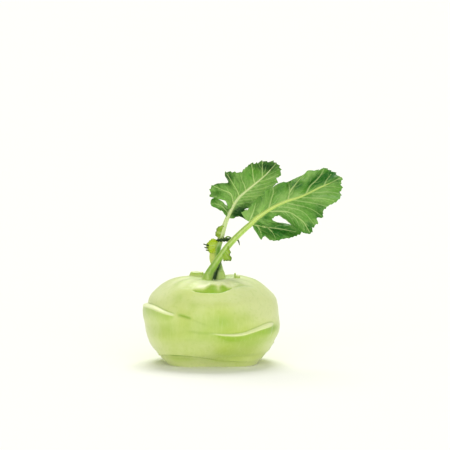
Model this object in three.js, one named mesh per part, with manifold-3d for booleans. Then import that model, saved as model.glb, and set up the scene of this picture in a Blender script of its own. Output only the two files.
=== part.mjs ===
// A freshly cut kohlrabi: the swollen stem with its leaf scars, and the two young leaves left on its crown.
// Millimetres, +Z up, the origin at the centre of the knife-cut base, the best side towards -Y.

import * as THREE from 'three';
import Module from 'manifold-3d';

const wasm = await Module();
wasm.setup();

// Clear space between neighbouring pieces
const GAP = 0.3;
// The blades bend beside their midribs, so they keep a little more
const RIB_GAP = 0.45;

// Swollen stem: half of its upright section as [radius, height], from the edge of the cut base to the crown
const BULB_RADIUS = 45.4;
const BULB_PROFILE = [
  [30.6, 0], [31.8, 1.7], [34.4, 4.3], [36.6, 7], [39.6, 9.8], [42.7, 15], [44.9, 20.5], [BULB_RADIUS, 27.5],
  [45.2, 33.5], [44.2, 39], [42, 45.2], [36, 51.2], [30, 55], [24, 57.1], [17.5, 58], [9, 57.2], [2, 56.3],
];
const BULB_SIDES = 56;
const BULB_LEVELS = 26;
// The section's points from the crown's rim inwards
const CROWN_POINTS = 3;
// The left foot is fuller than the right one
const FOOT_SWELL = -0.6;
const FOOT_HEIGHT = 12;
const FOOT_SPREAD = 6;
// The foot is a rounded square: share by which its corners stand out, and the height over which that fades
const FOOT_CORNERS = 0.13;
const FOOT_CORNER_FADE = 8;
// Slow unevenness of the round, as [share of the radius, waves round the bulb, turn in radians]
const BULB_WAVES = [[0.006, 2, 0.4], [0.008, 3, 1.9], [0.005, 5, 0.7]];

// Leaf scars, where the flesh steps: it stands out under a pale lip, or hangs over it where hangs is true.
// A station of a scar is [degrees round from the front, height, stand of the flesh, width of the lip]
const SCARS = [
  { stations: [[-150, 33, 0, 0.4], [-126, 36, 1.8, 1.6], [-106, 38.2, 2.5, 2.2], [-90, 39.2, 2.7, 2.5],
    [-76, 39.8, 2.6, 2.5], [-62, 39.6, 2.3, 2.3], [-50, 38.2, 1.9, 2], [-42, 37, 1.5, 1.7],
    [-34, 36.4, 0.9, 1.2], [-28, 36.2, 0, 0.4]] },
  { stations: [[-8, 25.2, 0, 0.3], [5, 24.2, 0.7, 0.8], [16, 23.4, 1.1, 1], [26, 23.9, 1.4, 1.3],
    [35, 25.2, 1.7, 1.7], [44, 26.6, 2, 2.2], [52, 27.7, 2.2, 2.7], [60, 28.4, 2.2, 2.8],
    [67, 28.9, 1.9, 2.4], [73, 29.3, 0.8, 1.2], [78, 29.4, 0, 0.3]] },
  { stations: [[-26, 52.6, 0, 0.3], [-10, 53.8, 0.5, 0.7], [5, 55.4, 0.8, 0.9], [20, 55.1, 0.6, 0.8],
    [36, 53.6, 0, 0.3]], hangs: true },
  { stations: [[-112, 3.4, 0, 0.3], [-86, 5, 0.4, 0.6], [-66, 7.4, 0.8, 0.8], [-46, 9.2, 1, 0.9],
    [-28, 9.5, 1, 0.9], [-13, 8.8, 0.9, 0.8], [-2, 7.3, 0.7, 0.7], [8, 6, 0.6, 0.6], [20, 5, 0.5, 0.5],
    [36, 3.9, 0.3, 0.4], [52, 3, 0, 0.3]], hangs: true },
  { stations: [[-176, 15.6, 0, 0.4], [-156, 18.8, 1.8, 1.8], [-138, 19.4, 1.6, 1.7], [-118, 16.6, 0, 0.4]] },
  { stations: [[106, 43.6, 0, 0.4], [130, 46, 1.8, 1.9], [158, 46.4, 1.9, 2], [186, 43.6, 0, 0.4]] },
  { stations: [[86, 14.6, 0, 0.4], [106, 13, 1.3, 1.4], [126, 13.4, 1.4, 1.4], [146, 16, 0, 0.4]] },
];
const SCAR_STEPS = 18;
// How deep a step's body is sunk in the round
const LIP_ROOT = 2.2;
// Length of the run back into the round: a first length, and more for each millimetre of the stand
const RUN_START = 3;
const RUN_GROWTH = 4;
// The run's section as [share of its length, share of the step's stand]
const RUN_SECTION = [[0.3, 0.86], [0.62, 0.42]];
// How far a step's edges dip below the round, so that they don't lie on it
const EDGE_DIP = 0.25;
// The least that a step stands out, at its ends, and the lowest height that it reaches
const STEP_END = 0.06;
const STEP_FLOOR = 0.4;

// Crescent hollow under the step on the front of the crown, its azimuth in degrees round from the front
const HOLLOW = { azimuth: 5, height: 52.4, halfWidth: 12.5, halfHeight: 2.2, depth: 1.5 };
const HOLLOW_STEPS = 10;
const HOLLOW_SIDES = 8;
// Its middle rises towards the step, and its ends keep a little of its section
const HOLLOW_RISE = 0.7;
const HOLLOW_END = 0.06;

// Stubs of two leaves that were cut off at the crown: place, turn in degrees, width, depth and height
const STUBS = [
  { x: -10.4, y: 11, turn: -24, wide: 11, deep: 4.6, tall: 2.4 },
  { x: 17.4, y: 6.8, turn: 62, wide: 8, deep: 3.8, tall: 1.5 },
];
const STUB_SINK = 3;
const STUB_SIDES = 14;
// Shares of a stub's height at which its rings lie
const STUB_LEVELS = [0, 0.5, 0.85, 1];
// A stub narrows and leans back as it rises, by these shares of its own size
const STUB_TAPER = 0.22;
const STUB_LEAN = 0.35;

// Leaf stalks, each running on as its leaf's midrib: [x, y, z, half width] from the crown to the rib's end
const FRONT_STALK = [
  [-2.4, -4, 57.6, 4.1], [-1.4, -4, 60, 3.3], [-0.4, -4, 62.4, 2.95], [2, -4.5, 66.5, 2.65],
  [5.5, -5.5, 72, 2.4], [10, -6, 78.5, 2.15], [15.5, -7, 84.8, 2], [22.5, -8, 91.6, 1.9],
  [26.5, -9, 95.2, 1.8], [30, -9.5, 98.8, 1.6], [37, -10.5, 103.8, 1.3], [44, -11.5, 108, 1.1],
  [51.5, -12, 111.2, 0.95], [58, -12, 113.2, 0.85], [64, -11.5, 115.6, 0.75], [73, -10, 120, 0.6],
  [80.5, -8.5, 123, 0.45],
];
const REAR_STALK = [
  [5.6, 5, 57.6, 4.9], [5, 5, 60, 3.9], [4.6, 5, 62.6, 3.2], [3.8, 5, 67.5, 2.5], [3.4, 5, 74.5, 2.2],
  [5.2, 5.5, 81, 2], [7, 6, 86.8, 1.8], [9, 6.5, 93.6, 1.6], [10.6, 7, 97.6, 1.45], [14.4, 8, 105.6, 1.15],
  [18.5, 9, 111.3, 0.9], [23, 10, 115.2, 0.75], [29, 11, 120, 0.65], [34.5, 12, 124.4, 0.55],
  [39.6, 12.7, 129.4, 0.45],
];
// Point of each stalk's list where its blade begins
const FRONT_RIB_START = 8;
const REAR_RIB_START = 8;
const STALK_SIDES = 10;
const STALK_STEPS = 34;
// A stalk is a little deeper than it is wide
const STALK_DEPTH_RATIO = 1.12;

// Leaf blades: rows that run from the midrib out to the margin, in order round the leaf from one side of
// the stalk over the tip to the other. A row is [place along the midrib, x, y, z of the margin, vein, bow],
// and its place runs 0 to 1 up one side of the midrib and on to 2 down the other side
const VEIN = 1;
const FRONT_BLADE = [
  [0, 24.5, -8.5, 97.2], [0.02, 21, -7, 100.5], [0.04, 20.5, -6, 102.6, VEIN], [0.06, 24, -6, 104],
  [0.08, 25.2, -6, 105.8], [0.1, 29.5, -4, 110, VEIN], [0.14, 32.4, -5, 113], [0.17, 34.2, -7, 112.2],
  [0.2, 36, -5, 117.4],
  [0.23, 41.5, -3, 119.4, VEIN], [0.29, 43.5, -4, 121], [0.33, 47, -6, 123], [0.38, 51, -6, 123.2, VEIN],
  [0.42, 55, -3, 124.6], [0.46, 62.4, -1, 128.2, VEIN], [0.52, 64.6, -3, 130.5], [0.58, 71, -5, 130.6],
  [0.64, 76, -1.5, 132.2, VEIN], [0.76, 79, -3, 130.6], [0.86, 82.6, -5, 129, VEIN], [0.95, 84.6, -6, 127.4],
  [1, 87.2, -7, 126.2, VEIN], [1.05, 86.6, -9, 122], [1.12, 87.6, -11, 119.6, VEIN], [1.18, 86, -13, 117],
  [1.25, 86.4, -16, 114.4, VEIN], [1.31, 82.4, -18, 110.6], [1.36, 78, -18, 108.2, VEIN],
  [1.41, 74.6, -17, 104.4],
  [1.45, 74.4, -19, 100.8, VEIN], [1.49, 70.4, -20, 100.6], [1.53, 71, -20, 97], [1.57, 67.8, -18, 94.2],
  [1.6, 66.4, -17, 89.8, VEIN], [1.63, 62, -17, 90], [1.66, 57.4, -18, 92.4], [1.69, 53.6, -18, 95.6],
  [1.71, 50.2, -17, 99.2], [1.73, 46.6, -15, 101.4], [1.76, 42.6, -13, 100.8], [1.79, 40.4, -10, 98.2],
  [1.82, 44.4, -8, 96, 0, -0.3], [1.84, 50, -6.5, 95, 0, -0.22], [1.86, 56, -6, 93.2, VEIN, -0.2],
  [1.88, 60.2, -6, 89.2, 0, -0.16], [1.9, 54, -9, 86.4, VEIN, -0.1], [1.92, 47.5, -11, 85.2],
  [1.94, 43, -13, 84.2, VEIN],
  [1.955, 38.4, -14, 85.4], [1.965, 35.6, -13, 88.2], [1.975, 33, -14, 85.4, VEIN], [1.985, 30.8, -12, 88.6],
  [2, 29.4, -10, 91.6],
];
const REAR_BLADE = [
  [0, 8.4, 5, 100], [0.03, 7, 4, 102.4], [0.05, 4, 5, 103.8], [0.07, -0.4, 7, 106, VEIN],
  [0.09, -0.6, 8, 109.2],
  [0.105, 2.4, 8, 111], [0.12, 4.6, 7.6, 109], [0.135, 7.2, 7, 106.4], [0.15, 10.4, 6, 103.4],
  [0.165, 10, 4.6, 107.8], [0.18, 7.6, 3.8, 110.6], [0.19, 4, 3, 113], [0.205, -1.4, 1, 112.5],
  [0.215, -0.6, 1, 114.6], [0.225, -0.9, 2, 117], [0.24, 0.6, 4, 119.4, VEIN],
  [0.26, 4, 5, 121], [0.28, 8, 6, 121.2], [0.3, 10.8, 8, 121], [0.32, 10.8, 8, 123], [0.335, 9, 6, 125.8],
  [0.35, 9.6, 4, 128.4, VEIN], [0.38, 12, 3.5, 129], [0.41, 14.4, 5, 128.4], [0.47, 20, 8, 128, VEIN],
  [0.53, 21.2, 10, 129.4], [0.58, 23.4, 9, 132], [0.64, 26.4, 7, 134.8, VEIN], [0.7, 30, 9, 134.4],
  [0.78, 33.8, 11, 136.2, VEIN], [0.88, 38.2, 13, 135.4], [0.96, 41.6, 14, 135.2], [1, 43.8, 14, 134.4, VEIN],
  [1.06, 45, 13, 131.4], [1.14, 46.2, 12, 128.8, VEIN], [1.22, 46, 12, 125.8], [1.28, 43.4, 14, 123.6],
  [1.33, 43.4, 15, 120.2, VEIN], [1.4, 41, 14, 117.4], [1.47, 39, 15, 113.4, VEIN], [1.55, 36.6, 15, 110],
  [1.62, 33.6, 14, 108.4, VEIN], [1.68, 29, 14, 106.2], [1.73, 25.4, 12, 104], [1.79, 20.6, 9, 103],
  [1.83, 23, 8.4, 101], [1.87, 25.6, 8, 98.4, VEIN], [1.9, 24.2, 6.4, 95.8], [1.93, 20.6, 5.4, 97.8],
  [1.96, 17.4, 5.6, 98.8], [2, 14, 6.4, 97],
];
const BLADE_THICKNESS = 0.8;
const BLADE_STEPS = 4;
// Spacing of the rows at the margin
const ROW_SPACING = 1.5;
// Share of the half circle round the midrib's end that the innermost points take
const RIB_END_TURN = 0.03;
// A toothed edge: length of one tooth along the margin, and how far it stands out
const TOOTH_PITCH = 4.4;
const TOOTH_HEIGHT = 1;
// A tooth stands out no more than this share of the blade's width
const TOOTH_SHARE = 0.2;
// Waves of the margin across the blade, and the power of the way out by which they grow
const RUFFLE_LENGTH = 17;
const RUFFLE_HEIGHT = 1.3;
const RUFFLE_POWER = 1.5;
// Width from which a blade waves and swells in full
const FULL_WIDTH = 12;
// The blade swells between its side veins, most a little nearer the midrib, and each vein is a rib on the back
const QUILT_HEIGHT = 1.1;
const QUILT_POWER = 0.8;
const VEIN_HEIGHT = 0.8;

// Small leaflets on the stalks, as fans: [point on the stalk's list, x, y, z of the margin]
const REAR_LEAFLETS = [
  [[5.4, 6.2, 4.6, 85.4], [5.7, 4, 3.6, 85.4], [6, 2.4, 2.6, 88.6], [6.3, 3.6, 3, 91.8], [6.7, 6.4, 4, 92.6]],
  [[4.1, 2.4, 3, 74.2], [4.3, 0, 2, 74.2], [4.6, -3.6, 1.6, 76.2], [4.8, -5.8, 2, 79.6], [5, -2.4, 1.6, 81.4],
    [5.2, 0, 2.6, 83.4], [5.4, 3.4, 3.6, 82.6]],
  [[5, 8, 10.4, 82.8], [5.1, 12.4, 10.8, 83.6], [5.3, 16, 7.6, 83.4], [5.4, 18.6, 4.6, 79.8],
    [5.5, 14, 2, 83.6], [5.6, 9.4, 2.2, 84.6]],
];
const FRONT_LEAFLETS = [
  [[5.3, 12.4, -9, 79.4], [5.1, 14, -9.6, 77], [4.9, 13, -11, 73.6], [4.7, 10.8, -12, 70.6],
    [4.4, 8, -11, 70.4]],
];
const LEAFLET_STEPS = 3;
// Rows between two listed points of a leaflet's margin
const LEAFLET_ROWS = 2;

const FLESH = new THREE.MeshStandardMaterial({ color: 0xc9da84, roughness: 0.5, metalness: 0 });
const STALK = new THREE.MeshStandardMaterial({ color: 0xb4d468, roughness: 0.5, metalness: 0 });
const LEAF = new THREE.MeshStandardMaterial({ color: 0x5f9a3c, roughness: 0.6, metalness: 0 });

// How often a span is halved to find a point of the skin in it
const HALVINGS = 24;

const UP = new THREE.Vector3(0, 0, 1);
const BACK = new THREE.Vector3(0, 1, 0);

const bell = (value, centre, spread) => Math.exp(-(((value - centre) / spread) ** 2));
const planeCurve = (pairs) => new THREE.SplineCurve(pairs.map(([x, y]) => new THREE.Vector2(x, y)));
const spaceCurve = (points) => new THREE.CatmullRomCurve3(
  points.map(([x, y, z]) => new THREE.Vector3(x, y, z)),
  false,
  'centripetal',
);

// A geometry from points and triangles, turned so that its faces point out
function geometryOf(points, triangles) {
  const sixfold = ([a, b, c]) => points[a].dot(points[b].clone().cross(points[c]));
  const volume = triangles.reduce((sum, triangle) => sum + sixfold(triangle), 0);
  const outward = volume > 0 ? triangles : triangles.map(([a, b, c]) => [a, c, b]);
  const geometry = new THREE.BufferGeometry();
  const places = points.flatMap((point) => point.toArray());
  geometry.setAttribute('position', new THREE.Float32BufferAttribute(places, 3));
  geometry.setIndex(outward.flat());
  return geometry;
}

// A closed body through rings of points, each end closed by a fan from the middle of its ring
function ringSolid(rings) {
  const sides = rings[0].length;
  const middle = (ring) => ring.reduce((sum, p) => sum.add(p), new THREE.Vector3()).divideScalar(sides);
  const points = [...rings.flat(), middle(rings[0]), middle(rings.at(-1))];
  const first = rings.length * sides;
  const triangles = [];
  for (let side = 0; side < sides; side += 1) {
    const next = (side + 1) % sides;
    triangles.push([first, next, side]);
    const top = (rings.length - 1) * sides;
    triangles.push([first + 1, top + side, top + next]);
    for (let ring = 0; ring + 1 < rings.length; ring += 1) {
      const low = ring * sides;
      const high = low + sides;
      triangles.push([low + side, low + next, high + next], [low + side, high + next, high + side]);
    }
  }
  return geometryOf(points, triangles);
}

// A closed sheet between two grids of points that are split into triangles alike
function sheetSolid(front, back) {
  const rows = front.length;
  const columns = front[0].length;
  const points = [...front.flat(), ...back.flat()];
  const behind = rows * columns;
  const at = (row, column) => row * columns + column;
  const triangles = [];
  const quad = (a, b, c, d) => triangles.push([a, b, c], [a, c, d]);
  for (let row = 0; row + 1 < rows; row += 1) {
    for (let column = 0; column + 1 < columns; column += 1) {
      const [a, b] = [at(row, column), at(row + 1, column)];
      const [c, d] = [at(row + 1, column + 1), at(row, column + 1)];
      quad(a, b, c, d);
      triangles.push([behind + c, behind + b, behind + a], [behind + d, behind + c, behind + a]);
    }
    for (const column of [0, columns - 1]) {
      const wall = [at(row, column), at(row + 1, column)];
      if (column === 0) wall.reverse();
      const [a, b] = wall;
      quad(a, b, behind + b, behind + a);
    }
  }
  for (let column = 0; column + 1 < columns; column += 1) {
    for (const row of [0, rows - 1]) {
      const wall = [at(row, column), at(row, column + 1)];
      if (row !== 0) wall.reverse();
      const [a, b] = wall;
      quad(a, b, behind + b, behind + a);
    }
  }
  return geometryOf(points, triangles);
}

const solidOf = (geometry) => new wasm.Manifold(new wasm.Mesh({
  numProp: 3,
  vertProperties: new Float32Array(geometry.attributes.position.array),
  triVerts: new Uint32Array(geometry.index.array),
}));

// Joins closed geometries into one, and then cuts others out of it
function joined(geometries, cuts = []) {
  const whole = geometries.map(solidOf).reduce((sum, solid) => sum.add(solid));
  const mesh = cuts.map(solidOf).reduce((rest, solid) => rest.subtract(solid), whole).getMesh();
  const geometry = new THREE.BufferGeometry();
  geometry.setAttribute('position', new THREE.BufferAttribute(new Float32Array(mesh.vertProperties), 3));
  geometry.setIndex(new THREE.BufferAttribute(new Uint32Array(mesh.triVerts), 1));
  return geometry;
}

const bulbSection = planeCurve(BULB_PROFILE);
const crownStart = (BULB_PROFILE.length - CROWN_POINTS) / (BULB_PROFILE.length - 1);

// Point of the bulb's skin: level runs 0 to 1 up the section, and azimuth is in radians round from the front
function bulbPoint(level, azimuth) {
  const { x: plainRadius, y: plainHeight } = bulbSection.getPoint(level);
  const side = Math.sin(azimuth);
  const wave = ([share, count, turn]) => share * Math.sin(count * azimuth + turn);
  const waves = BULB_WAVES.reduce((sum, row) => sum + wave(row), 0);
  const corners = FOOT_CORNERS * Math.sin(2 * azimuth) ** 2 * bell(plainHeight, 0, FOOT_CORNER_FADE);
  const swell = FOOT_SWELL * side * bell(plainHeight, FOOT_HEIGHT, FOOT_SPREAD);
  const radius = plainRadius * (1 + waves + corners) + swell;
  return new THREE.Vector3(radius * side, -radius * Math.cos(azimuth), plainHeight);
}

// Point of the skin at a height below the crown's rim, found by halving
function bulbAtHeight(height, azimuth) {
  let [low, high] = [0, crownStart];
  for (let step = 0; step < HALVINGS; step += 1) {
    const middle = (low + high) / 2;
    if (bulbPoint(middle, azimuth).z < height) low = middle;
    else high = middle;
  }
  return bulbPoint(low, azimuth);
}

// Height of the hollow crown under a point, found by halving between its rim and its middle
function crownHeight({ x, y }) {
  const azimuth = Math.atan2(x, -y);
  let [low, high] = [crownStart, 1];
  for (let step = 0; step < HALVINGS; step += 1) {
    const middle = (low + high) / 2;
    const skin = bulbPoint(middle, azimuth);
    if (Math.hypot(skin.x, skin.y) > Math.hypot(x, y)) low = middle;
    else high = middle;
  }
  return bulbPoint(low, azimuth).z;
}

// Frame on the skin at a height: the place itself, the way out of the flesh and the way up along the skin
function skinFrame(height, azimuth) {
  const skin = bulbAtHeight(height, azimuth);
  const above = bulbAtHeight(height + 1, azimuth).sub(skin).normalize();
  const round = new THREE.Vector3(Math.cos(azimuth), Math.sin(azimuth), 0);
  return { skin, above, out: round.clone().cross(above).normalize(), round };
}

// A scar's step: a sloping lip across its line and a long run back into the round, dying out at both ends
function step({ stations, hangs }) {
  const route = planeCurve(stations);
  const relief = planeCurve(stations.map(([, , stand, lip]) => [stand, lip]));
  const way = hangs ? 1 : -1;
  const rings = [];
  for (let index = 0; index <= SCAR_STEPS; index += 1) {
    const { x: degrees, y: height } = route.getPoint(index / SCAR_STEPS);
    const { x: plainStand, y: lip } = relief.getPoint(index / SCAR_STEPS);
    const stand = Math.max(plainStand, STEP_END);
    const run = RUN_START + RUN_GROWTH * stand;
    const corner = (depth, away) => {
      const azimuth = THREE.MathUtils.degToRad(degrees);
      const { skin, out } = skinFrame(Math.max(height + way * away, STEP_FLOOR), azimuth);
      return skin.addScaledVector(out, depth);
    };
    rings.push([
      corner(-LIP_ROOT, -lip / 2),
      corner(-EDGE_DIP, -lip / 2),
      corner(stand, lip / 2),
      ...RUN_SECTION.map(([along, share]) => corner(stand * share, run * along)),
      corner(-EDGE_DIP, run),
      corner(-LIP_ROOT, run),
    ]);
  }
  return ringSolid(rings);
}

// The body that the crescent hollow takes out of the flesh: a lens laid along the skin
function hollow({ azimuth, height, halfWidth, halfHeight, depth }) {
  const { skin, above, out, round } = skinFrame(height, THREE.MathUtils.degToRad(azimuth));
  const radius = Math.hypot(skin.x, skin.y);
  const rings = [];
  for (let index = 0; index <= HOLLOW_STEPS; index += 1) {
    const along = (index / HOLLOW_STEPS) * 2 - 1;
    const fullness = Math.max(HOLLOW_END, 1 - along ** 2);
    const sag = radius - Math.sqrt(radius ** 2 - (along * halfWidth) ** 2);
    const middle = skin.clone().addScaledVector(round, along * halfWidth).addScaledVector(BACK, sag);
    rings.push(Array.from({ length: HOLLOW_SIDES }, (_, side) => {
      const angle = (side / HOLLOW_SIDES) * 2 * Math.PI;
      return middle.clone()
        .addScaledVector(above, (Math.sin(angle) * halfHeight + HOLLOW_RISE) * fullness)
        .addScaledVector(out, Math.cos(angle) * depth * fullness);
    }));
  }
  return ringSolid(rings);
}

// A cut leaf stub: a low wedge sunk in the crown, with its cut face up
function stub({ x, y, turn, wide, deep, tall }) {
  const rings = STUB_LEVELS.map((share) => Array.from({ length: STUB_SIDES }, (_, index) => {
    const angle = (index / STUB_SIDES) * 2 * Math.PI;
    const half = 0.5 * (1 - STUB_TAPER * share ** 2);
    const lean = STUB_LEAN * deep * share ** 2 * Math.sin(angle);
    const height = -STUB_SINK + share * (tall + STUB_SINK) + lean;
    return new THREE.Vector3(Math.cos(angle) * wide * half, Math.sin(angle) * deep * half, height);
  }));
  return ringSolid(rings).rotateZ(THREE.MathUtils.degToRad(turn)).translate(x, y, crownHeight({ x, y }));
}

function bulb() {
  const turns = Array.from({ length: BULB_SIDES }, (_, side) => (side / BULB_SIDES) * 2 * Math.PI);
  const rings = Array.from({ length: BULB_LEVELS + 1 }, (_, level) => (
    turns.map((turn) => bulbPoint(level / BULB_LEVELS, turn))
  ));
  return joined([ringSolid(rings), ...SCARS.map(step), ...STUBS.map(stub)], [hollow(HOLLOW)]);
}

// A stalk's centre line and half width, for a place given as a point number of its list
function stalkLine(list) {
  const centre = spaceCurve(list);
  const last = list.length - 1;
  return {
    last,
    point: (place) => centre.getPoint(place / last),
    tangent: (place) => centre.getTangent(place / last),
    halfWidth: (place) => {
      const low = Math.min(Math.floor(place), last - 1);
      return THREE.MathUtils.lerp(list[low][3], list[low + 1][3], place - low);
    },
  };
}

// The stalk and midrib as one tapering sweep, its lowest ring laid over the crown
function stalkSolid(line) {
  const rings = [];
  for (let step = 0; step <= STALK_STEPS; step += 1) {
    const place = (step / STALK_STEPS) * line.last;
    const middle = line.point(place);
    const tangent = step === 0 ? UP : line.tangent(place);
    const across = BACK.clone().cross(tangent).normalize();
    const deep = tangent.clone().cross(across).normalize();
    const half = line.halfWidth(place);
    const ring = Array.from({ length: STALK_SIDES }, (_, side) => {
      const angle = (side / STALK_SIDES) * 2 * Math.PI;
      return middle.clone()
        .addScaledVector(across, Math.cos(angle) * half)
        .addScaledVector(deep, Math.sin(angle) * half * STALK_DEPTH_RATIO);
    });
    if (step === 0) ring.forEach((corner) => corner.setZ(crownHeight(corner) + GAP));
    rings.push(ring);
  }
  return ringSolid(rings);
}

// Where a blade's row starts, on the midrib's edge or round its end, and the way its thickness runs there
function ribEdge(line, start, place, clearance) {
  const alongRib = 1 - Math.abs(place - 1);
  const station = THREE.MathUtils.lerp(start, line.last, alongRib);
  const tangent = line.tangent(station);
  const across = BACK.clone().cross(tangent).normalize().negate();
  const turn = THREE.MathUtils.clamp((place - 1) / RIB_END_TURN, -1, 1) * (Math.PI / 2);
  const reach = line.halfWidth(station) + clearance;
  const point = line.point(station)
    .addScaledVector(across, -Math.sin(turn) * reach)
    .addScaledVector(tangent, Math.cos(turn) * reach);
  return { point, facing: tangent.clone().cross(across).normalize() };
}

// Rows of a blade, read off its list with extra rows between so that the margin is evenly stepped
function bladeRows(list) {
  const margin = spaceCurve(list.map(([, x, y, z]) => [x, y, z]));
  const rows = [];
  let run = 0;
  for (let index = 0; index + 1 < list.length; index += 1) {
    const [from, to] = [list[index], list[index + 1]];
    const at = (share) => margin.getPoint((index + share) / (list.length - 1));
    const length = at(0).distanceTo(at(0.5)) + at(0.5).distanceTo(at(1));
    const steps = Math.max(1, Math.round(length / ROW_SPACING));
    for (let step = 0; step < steps || (step === steps && index + 2 === list.length); step += 1) {
      const share = step / steps;
      rows.push({
        place: THREE.MathUtils.lerp(from[0], to[0], share),
        margin: at(share),
        bow: THREE.MathUtils.lerp(from[5] ?? 0, to[5] ?? 0, share),
        vein: step === 0 && from[4] === VEIN,
        run: run + length * share,
      });
    }
    run += length;
  }
  return rows;
}

// How far each row lies between its two nearest veins: 0 on a vein and 1 midway
function quiltOf(rows) {
  const veins = rows.filter((row) => row.vein).map((row) => row.run);
  return rows.map(({ run }) => {
    const before = veins.filter((vein) => vein <= run).at(-1) ?? rows[0].run;
    const after = veins.find((vein) => vein > run) ?? rows.at(-1).run;
    return Math.sin(Math.PI * THREE.MathUtils.clamp((run - before) / Math.max(after - before, 1), 0, 1));
  });
}

// Direction across the sheet at each point of a grid, towards the front of a blade
function gridNormals(grid) {
  const clampIndex = (value, count) => THREE.MathUtils.clamp(value, 0, count - 1);
  return grid.map((row, i) => row.map((point, j) => {
    const at = (a, b) => grid[clampIndex(a, grid.length)][clampIndex(b, row.length)];
    const round = at(i + 1, j).clone().sub(at(i - 1, j));
    return round.cross(at(i, j + 1).clone().sub(at(i, j - 1))).normalize();
  }));
}

// A blade as one thin closed sheet that runs round its midrib
function bladeSolid(list, line, start) {
  const rows = bladeRows(list);
  const quilt = quiltOf(rows);
  const edges = rows.map(({ place }) => ribEdge(line, start, place, RIB_GAP));
  const grid = rows.map(({ margin, bow, run }, index) => {
    const inner = edges[index].point;
    const outward = margin.clone().sub(inner);
    const width = outward.length();
    const sideways = outward.clone().cross(BACK).normalize();
    const control = inner.clone().add(margin).multiplyScalar(0.5).addScaledVector(sideways, bow * width);
    const tooth = TOOTH_HEIGHT * ((run / TOOTH_PITCH) % 1);
    const tip = margin.clone().addScaledVector(outward.normalize(), Math.min(tooth, width * TOOTH_SHARE));
    const side = new THREE.QuadraticBezierCurve3(inner, control, tip);
    const ruffle = RUFFLE_HEIGHT * Math.sin((2 * Math.PI * run) / RUFFLE_LENGTH);
    return Array.from({ length: BLADE_STEPS + 1 }, (_, step) => {
      const share = step / BLADE_STEPS;
      const room = Math.min(1, width / FULL_WIDTH);
      const swell = QUILT_HEIGHT * quilt[index] * Math.sin(Math.PI * share ** QUILT_POWER) * room;
      return side.getPoint(share).addScaledVector(BACK, ruffle * share ** RUFFLE_POWER * room - swell);
    });
  });
  const normals = gridNormals(grid);
  edges.forEach(({ facing }, index) => normals[index].splice(0, 1, facing));
  const offset = (sign, extra) => grid.map((row, i) => row.map((point, j) => {
    const rib = extra && rows[i].vein ? VEIN_HEIGHT * (1 - j / BLADE_STEPS) : 0;
    return point.clone().addScaledVector(normals[i][j], sign * (BLADE_THICKNESS / 2 + rib));
  }));
  return sheetSolid(offset(1, false), offset(-1, true));
}

// A small leaflet fanned out from inside its stalk
function leafletSolid(list, line) {
  const margin = spaceCurve(list.map(([, x, y, z]) => [x, y, z]));
  const count = (list.length - 1) * LEAFLET_ROWS;
  const grid = Array.from({ length: count + 1 }, (_, index) => {
    const low = Math.min(Math.floor(index / LEAFLET_ROWS), list.length - 2);
    const place = THREE.MathUtils.lerp(list[low][0], list[low + 1][0], index / LEAFLET_ROWS - low);
    const root = line.point(place);
    const edge = margin.getPoint(index / count);
    const shares = Array.from({ length: LEAFLET_STEPS + 1 }, (__, share) => share / LEAFLET_STEPS);
    return shares.map((share) => root.clone().lerp(edge, share));
  });
  const normals = gridNormals(grid);
  const offset = (sign) => grid.map((row, i) => row.map((point, j) => (
    point.clone().addScaledVector(normals[i][j], (sign * BLADE_THICKNESS) / 2)
  )));
  return sheetSolid(offset(1), offset(-1));
}

function stalk(line, leaflets) {
  return joined([stalkSolid(line), ...leaflets.map((leaflet) => leafletSolid(leaflet, line))]);
}

function named(name, geometry, material) {
  const mesh = new THREE.Mesh(geometry, material);
  mesh.name = name;
  return mesh;
}

const frontLine = stalkLine(FRONT_STALK);
const rearLine = stalkLine(REAR_STALK);
const kohlrabi = new THREE.Group();
kohlrabi.add(named('bulb', bulb(), FLESH));
kohlrabi.add(named('front_leaf_stalk', stalk(frontLine, FRONT_LEAFLETS), STALK));
kohlrabi.add(named('front_leaf_blade', bladeSolid(FRONT_BLADE, frontLine, FRONT_RIB_START), LEAF));
kohlrabi.add(named('rear_leaf_stalk', stalk(rearLine, REAR_LEAFLETS), STALK));
kohlrabi.add(named('rear_leaf_blade', bladeSolid(REAR_BLADE, rearLine, REAR_RIB_START), LEAF));

export default kohlrabi;
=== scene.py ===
"""Looks of a freshly cut kohlrabi: a swollen pale green stem with stepped leaf scars, and two young leaves.

Shapes are worked out in millimetres as grids of points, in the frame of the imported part: +Z up, the origin at
the centre of the cut base, the best side towards -Y. Angles round the stem are in degrees from the front, to
the right.
"""

import logging
import math
from dataclasses import dataclass
from enum import Enum

import bpy
import numpy as np
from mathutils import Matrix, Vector


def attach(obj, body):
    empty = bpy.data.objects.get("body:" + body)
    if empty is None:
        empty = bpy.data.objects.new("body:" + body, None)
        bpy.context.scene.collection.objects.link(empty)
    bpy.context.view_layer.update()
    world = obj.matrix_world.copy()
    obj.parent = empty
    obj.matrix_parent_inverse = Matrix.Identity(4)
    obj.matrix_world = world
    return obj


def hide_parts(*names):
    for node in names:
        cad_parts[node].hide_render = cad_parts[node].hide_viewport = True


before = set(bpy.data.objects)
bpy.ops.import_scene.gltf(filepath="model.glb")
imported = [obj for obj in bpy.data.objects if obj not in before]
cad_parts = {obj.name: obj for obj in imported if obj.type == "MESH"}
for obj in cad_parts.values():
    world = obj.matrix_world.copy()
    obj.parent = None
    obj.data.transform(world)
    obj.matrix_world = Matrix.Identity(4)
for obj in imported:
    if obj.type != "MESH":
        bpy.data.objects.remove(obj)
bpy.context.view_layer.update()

LOG = logging.getLogger("kohlrabi")
MM = 0.001
BODY = "root"
SEED = 20
BACK = np.array([0.0, 1.0, 0.0])


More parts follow.
